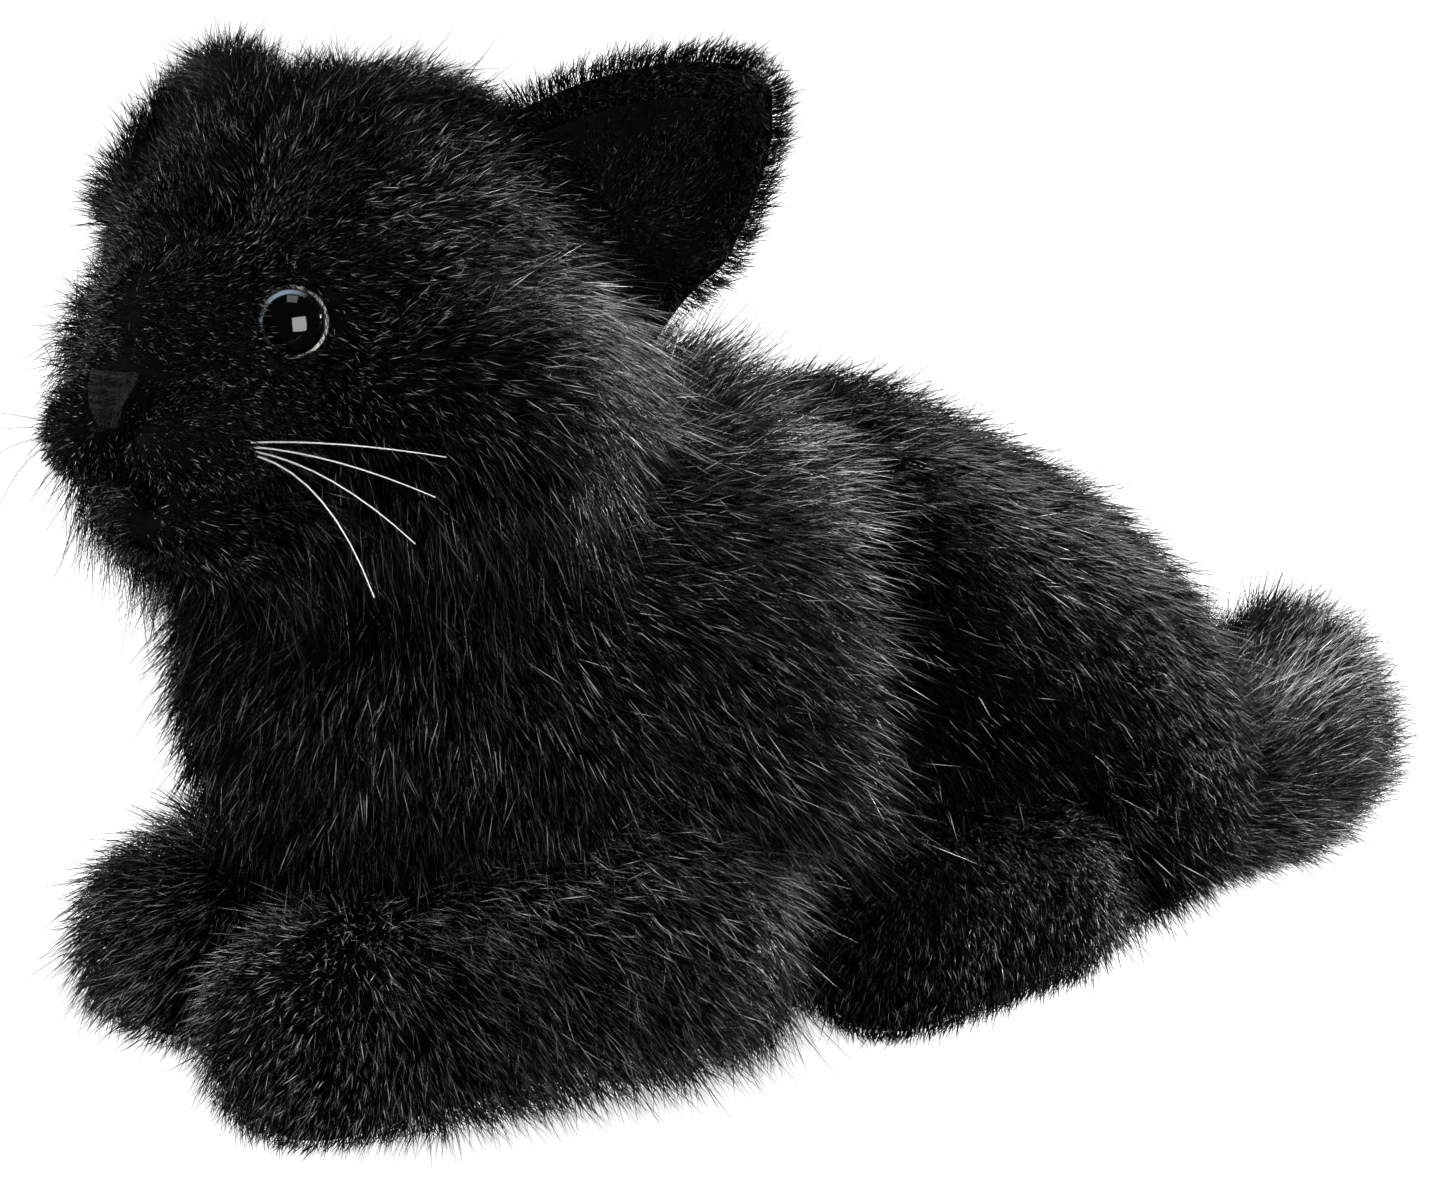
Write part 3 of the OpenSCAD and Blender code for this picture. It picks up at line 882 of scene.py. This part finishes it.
def torso_lie(p: Array, n: Array) -> Lie:
    """The body: down over the chest, back and down over the flanks, flat along the back.

    Args:
        p: points on the skin, in mm.
        n: the skin's normals there.

    Returns:
        How the pile lies.
    """
    side = np.clip((p[:, 0] - SPINE_X) / 50, -1, 1)
    chest = ramp(p[:, 1], -55, -92)
    front = p[:, 1] < SEAM_Y
    flank = ramp(np.abs(n[:, 0]), 0.2, 0.8)
    low = ramp(p[:, 2], 80, 45)
    # the chest pile stands up in a rim over the seam, and the back pile starts short behind it
    rim = np.where(front, ramp(p[:, 1], SEAM_Y - 40, SEAM_Y - 4), 0.0)
    after = np.where(front, 0.0, ramp(p[:, 1], SEAM_Y + 30, SEAM_Y + 4))
    comb = rows(len(p), 0.25 * side, 0.95 - 1.0 * chest, -0.25 - 0.75 * flank - 1.0 * chest)
    comb[:, 2] += 0.45 * rim * flank
    length = np.where(front, 17.5, 15.0) + 4.0 * rim - 5.0 * after + np.where(front, 7.0, 0.0) * low
    lean = np.where(front, 55.0, 58.0) - 16 * rim + 10 * after
    droop = 0.16 * flank + 0.1 + np.where(front, 0.3, 0.1) * low
    return Lie(length, lean, comb, clear_of_floor(n, -0.55, -0.9, 0.8), droop, np.full(len(p), 0.75))


def neck_lie(p: Array, n: Array) -> Lie:
    """The neck: a hanging ruff.

    Args:
        p: points on the skin, in mm.
        n: the skin's normals there.

    Returns:
        How the pile lies.
    """
    out = unit(p - HEAD_MID)
    comb = rows(len(p), 0.5 * out[:, 0], 0.5 * out[:, 1] + 0.15, -1.0)
    inner = (n * out).sum(axis=1) < 0.1
    return Lie(*evenly(len(p), 26.0, 50.0), comb, np.where(inner, 0.0, 1.0),
               np.full(len(p), 0.4), np.full(len(p), 0.9))


def head_lie(p: Array, n: Array) -> Lie:
    """The head: short on the face, brushed back, and a long ruff on cheeks and throat.

    Args:
        p: points on the skin, in mm.
        n: the skin's normals there.

    Returns:
        How the pile lies.
    """
    x, y, z = to_head(p).T
    ax, sign = np.abs(x), np.sign(x)
    # the parts of the head, each from 0 to 1
    face = ramp(y, -28, -50)
    cheek = ramp(ax, 20, 36) * ramp(z, 16, -8) * ramp(y, -38, -12)
    jaw = ramp(z, -14, -28) * ramp(y, -60, -42)
    throat = ramp(z, -26, -38) * ramp(y, -52, -30)
    back = ramp(y, 0, 30) * ramp(z, 10, -20)
    crown = ramp(z, 20, 36)
    chin = ramp(z, -26, -34) * ramp(y, -50, -58)
    bridge = bump(x, -11, 5) * bump(z, 5, 8) * ramp(y, -46, -54)
    edge = ramp(y, -16, 8) * ramp(z, 22, 0)
    part = ramp(ax, 9, 2) * ramp(z, 14, 26) * ramp(y, 20, -5)
    muzzle = ramp(y, -44, -56) * ramp(z, 6, -6)
    nose = bump(ax, 0, 6.5) * bump(z, -9, 6.5) * ramp(y, -60, -68)
    hanging = np.maximum(throat, jaw)
    ruff = np.clip(np.maximum(np.maximum(cheek, 0.9 * jaw), throat), 0, 1)
    mouth = mouth_height(x, z)

    length = (8.5 - 4.0 * face * (1 - jaw) + 11.5 * cheek + 12.0 * jaw + 8.0 * throat
              + 9.0 * back + 1.5 * crown)
    length = np.minimum(length, 27.0) + 2.0 * chin + 2.0 * bridge + 3.0 * edge
    length *= 1 - 0.2 * muzzle * (1 - chin) - 0.35 * bump(mouth, 3, 3.5) * muzzle
    length *= 1 - 0.55 * nose
    lean = (50 + 10 * cheek - 12 * throat - 6 * jaw + 4 * crown - 8 * face + 10 * back
            - 20 * edge - 22 * bridge)
    comb = rows(len(p), sign * (0.25 + 0.5 * face + 0.7 * part),
                0.95 - 0.45 * face * ramp(z, 6, -14) - 0.35 * jaw,
                -0.15 - 0.75 * cheek - 1.1 * hanging - 0.5 * back
                - 0.2 * face * ramp(z, 0, -20) + 0.35 * crown)
    share = 1 - 0.6 * ramp(-z, 30, 46) * ramp(y, -20, 0)
    share *= (1 - 0.95 * bump(mouth, 0, 1.8) * muzzle) * (1 - 0.6 * nose)
    return Lie(length, lean, comb @ HEAD_TURN.T, share, 0.1 + 0.2 * hanging + 0.12 * cheek,
               0.35 + 0.45 * np.clip(ruff + back, 0, 1))


def foreleg_lie(side: Side) -> LieRule:
    """Makes the rule for one foreleg: dense on the paw, longer towards the shoulder.

    Args:
        side: which leg; the right paw is the fluffier one.

    Returns:
        The rule.
    """
    trim = {Side.LEFT: 7.0, Side.RIGHT: 4.0}[side]

    def rule(p: Array, n: Array) -> Lie:
        """How the leg's pile lies at points p with normals n."""
        y = p[:, 1] - STAND_SHIFT[1]
        paw = ramp(y, -75, -100)
        comb = rows(len(p), side.value * 0.25, -0.55 + 0.9 * ramp(y, -112, -70), -0.55)
        return Lie(17.0 - trim * paw, 50 - 6 * paw, comb, clear_of_floor(n, -0.5, -0.9, 0.75),
                   np.full(len(p), 0.12), np.full(len(p), 0.6))

    return rule


def hindleg_lie(side: Side) -> LieRule:
    """Makes the rule for one hind leg: short pile, brushed forward and down over the foot.

    Args:
        side: which leg.

    Returns:
        The rule.
    """

    def rule(p: Array, n: Array) -> Lie:
        """How the leg's pile lies at points p with normals n."""
        comb = rows(len(p), side.value * 0.35, -0.25, -0.75)
        return Lie(*evenly(len(p), 8.5, 48.0), comb, clear_of_floor(n, -0.5, -0.9, 0.75),
                   np.full(len(p), 0.08), np.full(len(p), 0.5))

    return rule


def tail_lie(p: Array, n: Array) -> Lie:
    """The tail: brushed towards its tip, standing off like a brush.

    Args:
        p: points on the skin, in mm.
        n: the skin's normals there.

    Returns:
        How the pile lies.
    """
    comb = rows(len(p), -0.12, 1.0, 0.18)
    tip = ramp(p[:, 1], TAIL_ROOT[1] + 40, TAIL_ROOT[1] + 63)
    return Lie(15.0 - 3 * tip, np.full(len(p), 50.0), comb, clear_of_floor(n, -0.6, -0.95, 0.6),
               np.full(len(p), 0.05), np.full(len(p), 0.7))


def nap_lie(p: Array, n: Array) -> Lie:
    """Velour nap and flock: very short and close.

    Args:
        p: points on the skin, in mm.
        n: the skin's normals there.

    Returns:
        How the nap lies.
    """
    return Lie(*evenly(len(p), 1.3, 40.0), rows(len(p), 0.1, 0.2, -1.0),
               np.ones(len(p)), np.zeros(len(p)), np.full(len(p), 0.1))


@dataclass(frozen=True)
class EarFrame:
    """An ear's own frame: across its base, out of its lining, and up to its tip, in mm."""

    side: Side
    shift: tuple[float, float, float]

    def axes(self) -> tuple[Array, Array]:
        """Works out the frame in the row frame.

        Returns:
            The rows across, out and up, and the middle of the ear's base.
        """
        middle = (EAR_TOP_END + EAR_LOW_END) / 2
        across = unit(EAR_TOP_END - EAR_LOW_END)
        up = EAR_TIP - middle
        up = unit(up - (up @ across) * across)
        out = np.cross(up, across)
        if self.side is Side.RIGHT:
            droop = math.radians(RIGHT_EAR_DROOP_DEG)
            out, up = (math.cos(droop) * out + math.sin(droop) * up,
                       math.cos(droop) * up - math.sin(droop) * out)
            swing = turn_matrix((0, 0, RIGHT_EAR_FORWARD_DEG))
            flip = swing @ np.diag([-1.0, 1.0, 1.0])
            across, out, up, middle = flip @ across, flip @ out, flip @ up, flip @ middle
        return np.stack([across, out, up]) @ HEAD_TURN.T, HEAD_TURN @ middle + HEAD_MID

    def mould(self, rim: float) -> Callable[[Array], Array]:
        """Makes a rule that draws the ear's rim in and sinks its foot into the head.

        Args:
            rim: how far the rim comes in, in mm.

        Returns:
            A rule from points to moved points.
        """

        def move(p: Array) -> Array:
            """The points p as moved."""
            axes, middle = self.axes()
            q = (p - middle) @ axes.T
            high = np.clip(q[:, 2] / EAR_HEIGHT, 0, 1)
            q[:, 0] *= 1 - rim / EAR_HALF_BASE * (0.75 + 0.25 * high)
            q[:, 2] -= rim * 1.3 * high + 9.0 * ramp(q[:, 2], 12, 0)
            q[:, 1] -= 3.0 * ramp(q[:, 2], 2, -6)
            stand = ramp(q[:, 2], -2, 12)
            if self.side is Side.RIGHT:
                stand = stand * (0.1 + 1.3 * ramp(q[:, 0], 14, -22))
            return q @ axes + middle + stand[:, None] * np.array(self.shift)

        return move

    def lie(self, length: float, lean: float) -> LieRule:
        """Makes a rule for pile that is brushed out from the ear's foot past its edge.

        Args:
            length: the filaments' length, in mm.
            lean: their lean from the normal, in degrees.

        Returns:
            The rule.
        """

        def rule(p: Array, n: Array) -> Lie:
            """How the ear's pile lies at points p with normals n."""
            axes, middle = self.axes()
            q = (p - middle) @ axes.T
            out = np.stack([q[:, 0], 0 * q[:, 1], q[:, 2] + 6], axis=1)
            return Lie(*evenly(len(p), length, lean), unit(out) @ axes,
                       1 - 0.9 * ramp(q[:, 2], 2, -5), np.zeros(len(p)), np.full(len(p), 0.5))

        return rule


# ---- shapes of the skins beyond the CAD's own ----


def torso_shape(p: Array, n: Array) -> Array:
    """How far the chest side swells, and the seam behind it sinks in, in mm."""
    y = p[:, 1] - SEAM_Y
    return 2.2 * bump(y, -16, 13) - 3.6 * bump(y, 5, 9)


def head_shape(p: Array, n: Array) -> Array:
    """How far the head swells or sinks: eyelids, cheeks, parting, mouth, muzzle and chin.

    Args:
        p: points on the skin, in mm.
        n: the skin's normals there.

    Returns:
        One distance for each point, in mm.
    """
    h = to_head(p)
    x, y, z = np.abs(h[:, 0]), h[:, 1], h[:, 2]
    face = ramp(y, -22, -46)
    cheek = ramp(x, 22, 38) * ramp(z, 14, -8) * ramp(y, -34, -8)
    part = bump(x, 0, 3.2) * ramp(z, 12, 24) * ramp(y, 22, 0)
    mouth = bump(mouth_height(x, z), 0, 2.0) * ramp(y, -40, -52)
    cleft = bump(x, 0, 2.2) * ramp(z, -14, -18) * ramp(z, -34, -30) * ramp(y, -62, -70)
    puff = bump(x, 11, 8) * bump(z, -19, 8) * ramp(y, -52, -62)
    chin = bump(x, 5, 14) * bump(z, -39, 5) * ramp(y, -44, -56)
    under = bump(z, -49, 4) * ramp(y, -34, -48)
    # a lid stands up round each eye, and the skin stays under the dome
    eye = np.stack([x, y, z], axis=1) - EYE_SEAT
    off = np.linalg.norm(eye - np.outer(eye @ EYE_LOOK, EYE_LOOK), axis=1)
    near = ramp(np.linalg.norm(eye, axis=1), 22, 14)
    lid = near * (3.6 * bump(off, 8.4, 2.2) - 1.5 * ramp(off, 6.4, 4.5))
    return (lid - 1.3 * face * (1 - 0.5 * near) - 1.0 * cheek - 2.6 * part - 3.6 * mouth
            - 3.2 * cleft + 2.4 * puff + 1.6 * chin - 2.5 * under)


# ---- the cat's sewn parts ----


@dataclass
class Sewn:
    """One sewn part of the cat: its skin, and the pile that grows on it."""

    wardrobe: Wardrobe
    skin: Skin | None = field(default=None, init=False)

    def sew(self) -> None:
        """Builds the part's skins."""
        raise NotImplementedError

    def grow(self) -> None:
        """Grows the part's pile."""
        raise NotImplementedError


@dataclass
class Torso(Sewn):
    """The body: six panels and bags of fabric and their filling."""

    inset_mm: float = 2.2
    voxel_mm: float = 3.2
    chest_count: int = 31000
    back_count: int = 30000

    def sew(self) -> None:
        """Builds the body's skin."""
        panels = ("chest_left_panel", "chest_right_panel", "back_left_panel", "back_right_panel",
                  "belly_panel", "body_filling", "belly_pellet_bag")
        self.skin = Skin("torso_skin", "torso", panels, "long_pile", self.inset_mm, self.voxel_mm,
                         smooth=20, shape=torso_shape)
        self.skin.build(self.wardrobe.take("backing"))

    def grow(self) -> None:
        """Grows the pile of the four fur panels."""
        for k, side in enumerate(Side):
            Pile(f"chest_{side.word}_pile", "torso", "long_pile", self.skin, self.chest_count,
                 torso_lie, 11 + k, where=self._quarter(side, True),
                 ).build(self.wardrobe.take("body_pile"))
            # the back panels take the darker copy of the pile, as painted shade on the back
            Pile(f"back_{side.word}_pile", "torso", "long_pile", self.skin, self.back_count,
                 torso_lie, 21 + k, where=self._quarter(side, False),
                 ).build(self.wardrobe.take("back_pile"))

    def _quarter(self, side: Side, front: bool) -> Callable[[Array], Array]:
        """Makes a rule for one of the four panels.

        Args:
            side: the panel's side.
            front: whether it is in front of the seam.

        Returns:
            A rule from points to whether they are on the panel.
        """

        def inside(p: Array) -> Array:
            """Whether each point of p is on the panel."""
            return ((p[:, 0] > SPINE_X) == (side is Side.LEFT)) & ((p[:, 1] < SEAM_Y) == front)

        return inside


@dataclass
class Neck(Sewn):
    """The roll of filling between body and head, under the ruff."""

    inset_mm: float = 0.8
    voxel_mm: float = 2.5
    count: int = 12000

    def sew(self) -> None:
        """Builds the neck's skin."""
        self.skin = Skin("neck_skin", "neck", ("neck_roll",), "long_pile", self.inset_mm,
                         self.voxel_mm, smooth=4, puff_cap_mm=1.0)
        self.skin.build(self.wardrobe.take("backing"))

    def grow(self) -> None:
        """Grows the ruff."""
        # the neck's pile takes the darker copy of the pile, as painted shade under the head's ruff
        Pile("neck_pile", "neck", "long_pile", self.skin, self.count, neck_lie, 91, 0.13,
             5.0).build(self.wardrobe.take("under_pile_painted_shade"))


@dataclass
class Head(Sewn):
    """The head: its panels and filling, the nose, the eyes and the whiskers."""

    inset_mm: float = 1.6
    voxel_mm: float = 2.0
    count: int = 33000
    nose_voxel_mm: float = 0.5
    nose_count: int = 2000
    nose: Skin | None = field(default=None, init=False)

    def sew(self) -> None:
        """Builds the head's skin and the nose."""
        panels = ("head_left_panel", "head_right_panel", "muzzle_panel", "chin_panel", "head_filling")
        self.skin = Skin("head_skin", "head", panels, "short_pile", self.inset_mm, self.voxel_mm,
                         smooth=8, puff_cap_mm=0.8, shape=head_shape)
        self.skin.build(self.wardrobe.take("backing"))
        self.nose = Skin("nose", "head", ("nose_pad",), "nose_flock", 0.0, self.nose_voxel_mm,
                         smooth=6, puff_cap_mm=0.0, fill=0.9)
        self.nose.build(self.wardrobe.take("flock"))

    def grow(self) -> None:
        """Grows the pile of both sides of the head, and the nose's flock."""
        for k, side in enumerate(Side):
            Pile(f"head_{side.word}_pile", "head", "short_pile", self.skin, self.count, head_lie,
                 31 + k, 0.1, 4.0, where=self._half(side)).build(self.wardrobe.take("face_pile"))
        Pile("nose_nap", "head", "nose_flock", self.nose, self.nose_count, nap_lie, 95, 0.05,
             2.0).build(self.wardrobe.take("nap"))

    def _half(self, side: Side) -> Callable[[Array], Array]:
        """Makes a rule for one half of the head.

        Args:
            side: the half's side.

        Returns:
            A rule from points to whether they are on that half.
        """

        def inside(p: Array) -> Array:
            """Whether each point of p is on the half."""
            return to_head(p)[:, 0] * side.value > 0

        return inside

    def dress(self) -> None:
        """Gives the carried-over eyes, washers and whiskers their finishes."""
        kinds = {"left_lens": "lens_left", "right_lens": "lens_right", "_iris": "iris",
                 "_stem": "pupil", "_washer": "washer", "whiskers_left": "whisker",
                 "whiskers_right": "whisker"}
        for name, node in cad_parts.items():
            finish = next((f for end, f in kinds.items() if name.endswith(end)), None)
            if finish is not None:
                node.data.materials.clear()
                node.data.materials.append(self.wardrobe.take(finish))
                LOG.info("%s: %s", name, finish)


@dataclass
class Tail(Sewn):
    """The tail's sleeve and filling."""

    inset_mm: float = 2.4
    count: int = 20000

    def sew(self) -> None:
        """Builds the tail's skin."""
        self.skin = Skin("tail_skin", "tail", ("tail_sleeve", "tail_filling"), "long_pile",
                         self.inset_mm, smooth=10)
        self.skin.build(self.wardrobe.take("backing"))

    def grow(self) -> None:
        """Grows the tail's pile."""
        Pile("tail_pile", "tail", "long_pile", self.skin, self.count, tail_lie, 81, 0.125,
             5.0).build(self.wardrobe.take("body_pile"))


@dataclass
class Foreleg(Sewn):
    """A foreleg's sleeve and filling."""

    side: Side
    inset_mm: float = 1.8
    count: int = 20000

    def sew(self) -> None:
        """Builds the leg's skin."""
        leg = f"foreleg_{self.side.word}"
        self.skin = Skin(f"{leg}_skin", leg, (f"{leg}_sleeve", f"{leg}_filling"), "long_pile",
                         self.inset_mm, smooth=10)
        self.skin.build(self.wardrobe.take("backing"))

    def grow(self) -> None:
        """Grows the leg's pile."""
        leg = f"foreleg_{self.side.word}"
        # the leg's pile takes the copy with the most painted glints, as painted light
        Pile(f"{leg}_pile", leg, "long_pile", self.skin, self.count, foreleg_lie(self.side),
             SEEDS[self.side] + 40, 0.125, 4.5).build(self.wardrobe.take("foreleg_pile"))


@dataclass
class Hindleg(Sewn):
    """A hind leg's sleeve and filling."""

    side: Side
    inset_mm: float = 3.4
    count: int = 13000

    def sew(self) -> None:
        """Builds the leg's skin."""
        leg = f"hindleg_{self.side.word}"
        self.skin = Skin(f"{leg}_skin", leg, (f"{leg}_sleeve", f"{leg}_filling"), "short_pile",
                         self.inset_mm, smooth=10)
        self.skin.build(self.wardrobe.take("backing"))

    def grow(self) -> None:
        """Grows the leg's pile."""
        leg = f"hindleg_{self.side.word}"
        Pile(f"{leg}_pile", leg, "short_pile", self.skin, self.count, hindleg_lie(self.side),
             SEEDS[self.side] + 50, 0.12, 4.0).build(self.wardrobe.take("face_pile"))


@dataclass
class Ear(Sewn):
    """An ear's fur back and velour lining."""

    side: Side
    shift_mm: tuple[float, float, float]
    rim_mm: float
    pile_mm: float
    lining_rim_mm: float = 6.0
    pile_lean: float = 46.0
    count: int = 13000
    nap_count: int = 3000
    lining: Skin | None = field(default=None, init=False)

    def sew(self) -> None:
        """Builds the ear's back and its lining."""
        ear = f"ear_{self.side.word}"
        shape = EarFrame(self.side, self.shift_mm)
        self.skin = Skin(f"{ear}_skin", ear, (f"{ear}_back",), "ear_pile", 0.3, 1.3, smooth=3,
                         puff_cap_mm=0.0, mould=shape.mould(self.rim_mm))
        self.skin.build(self.wardrobe.take("backing"))
        self.lining = Skin(f"{ear}_velour", ear, (f"{ear}_lining",), "velour", 0.1, 0.7, smooth=3,
                           puff_cap_mm=0.0, fill=0.2, mould=shape.mould(self.lining_rim_mm))
        self.lining.build(self.wardrobe.take("velour"))

    def grow(self) -> None:
        """Grows the ear's pile and its lining's nap."""
        ear = f"ear_{self.side.word}"
        lie = EarFrame(self.side, self.shift_mm).lie(self.pile_mm, self.pile_lean)
        Pile(f"{ear}_pile", ear, "ear_pile", self.skin, self.count, lie, SEEDS[self.side] + 60,
             0.11, 2.5).build(self.wardrobe.take("ear_pile"))
        Pile(f"{ear}_nap", ear, "velour", self.lining, self.nap_count, nap_lie,
             SEEDS[self.side] + 70, 0.08, 3.0).build(self.wardrobe.take("nap"))


# ---- studio ----


@dataclass(frozen=True)
class SoftBox:
    """A square lamp that faces the cat, placed as the camera sees it, in metres."""

    name: str
    right: float
    towards: float
    up: float
    size: float
    watts: float


@dataclass
class Studio:
    """Floor, light and camera."""

    boxes: tuple[SoftBox, ...] = (
        SoftBox("top_box", 0.0, 0.1, 1.7, 0.7, 3.5),
        SoftBox("right_box", 1.35, -0.5, 0.22, 0.35, 54.0),
        SoftBox("left_box", -1.1, 0.1, 0.3, 0.35, 13.0),
        SoftBox("front_box", 0.6, 1.3, 0.3, 1.1, 31.0),
    )
    room_light: float = 0.04

    aim: tuple[float, float, float] = (0.01615, -0.0144, 0.095)
    azimuth: float = 60.0
    elevation: float = 18.0
    distance: float = 1.0
    lens_mm: float = 122.1

    def build(self, floor_finish: bpy.types.Material) -> None:
        """Makes everything round the cat.

        Args:
            floor_finish: the floor's material.
        """
        self._floor(floor_finish)
        self._light()
        self._camera()

    def _floor(self, finish: bpy.types.Material) -> None:
        """Adds a wide pale sheet under the cat.

        Args:
            finish: the sheet's material.
        """
        bpy.ops.object.select_all(action="DESELECT")
        bpy.ops.mesh.primitive_plane_add(size=40.0, location=(0, 0, 0))
        floor = bpy.context.object
        floor.name = "studio_floor"
        floor.data.materials.append(finish)
        # the sheet's glow stands for its own lighting, so it does not light the fur
        floor.visible_diffuse = False
        floor.visible_glossy = False

    def _lamp(self, box: SoftBox) -> None:
        """Adds one soft box.

        Args:
            box: its place, size and power.
        """
        turn = math.radians(self.azimuth)
        towards = Vector((math.sin(turn), -math.cos(turn), 0))
        right = Vector((math.cos(turn), math.sin(turn), 0))
        place = right * box.right + towards * box.towards + Vector((0, 0, box.up))
        lamp = bpy.data.lights.new(box.name, "AREA")
        lamp.shape = "SQUARE"
        lamp.size = box.size
        lamp.energy = box.watts
        made = bpy.data.objects.new(box.name, lamp)
        bpy.context.scene.collection.objects.link(made)
        made.location = place
        made.rotation_mode = "QUATERNION"
        made.rotation_quaternion = (place - Vector((0, 0, 0.08))).to_track_quat("Z", "Y")

    def _light(self) -> None:
        """Adds a dim white room, a box overhead, and boxes at each side and in front."""
        world = bpy.data.worlds.new("white_room")
        world.use_nodes = True
        back = world.node_tree.nodes["Background"]
        back.inputs["Color"].default_value = (1, 1, 1, 1)
        back.inputs["Strength"].default_value = self.room_light
        bpy.context.scene.world = world
        for box in self.boxes:
            self._lamp(box)
        bpy.context.scene.view_settings.view_transform = "Standard"

    def _camera(self) -> None:
        """A long lens from the cat's front left."""
        a, e = math.radians(self.azimuth), math.radians(self.elevation)
        back = Vector((math.sin(a) * math.cos(e), -math.cos(a) * math.cos(e), math.sin(e)))
        data = bpy.data.cameras.new("camera")
        data.lens = self.lens_mm
        data.sensor_width = 36.0
        made = bpy.data.objects.new("camera", data)
        bpy.context.scene.collection.objects.link(made)
        made.location = Vector(self.aim) + back * self.distance
        made.rotation_mode = "QUATERNION"
        made.rotation_quaternion = back.to_track_quat("Z", "Y")
        bpy.context.scene.camera = made


def main() -> None:
    """Builds the cat's parts in order, then its studio."""
    logging.basicConfig(level=logging.INFO, format="%(message)s")
    wardrobe = Wardrobe()
    head = Head(wardrobe)
    parts: list[Sewn] = [Torso(wardrobe), Neck(wardrobe), head, Tail(wardrobe)]
    for side in Side:
        parts += [Foreleg(wardrobe, side), Hindleg(wardrobe, side)]
    # the left ear stands up, and the right one droops away from the head
    parts.append(Ear(wardrobe, Side.LEFT, (0.9, 1.5, -1.3), rim_mm=2.0, pile_mm=5.8))
    parts.append(Ear(wardrobe, Side.RIGHT, (-2.6, -4.2, -1.5), rim_mm=0.5, pile_mm=8.0))
    for part in parts:
        part.sew()
    for part in parts:
        part.grow()
    head.dress()
    Studio().build(wardrobe.take("floor"))


if __name__ == "__main__":
    main()
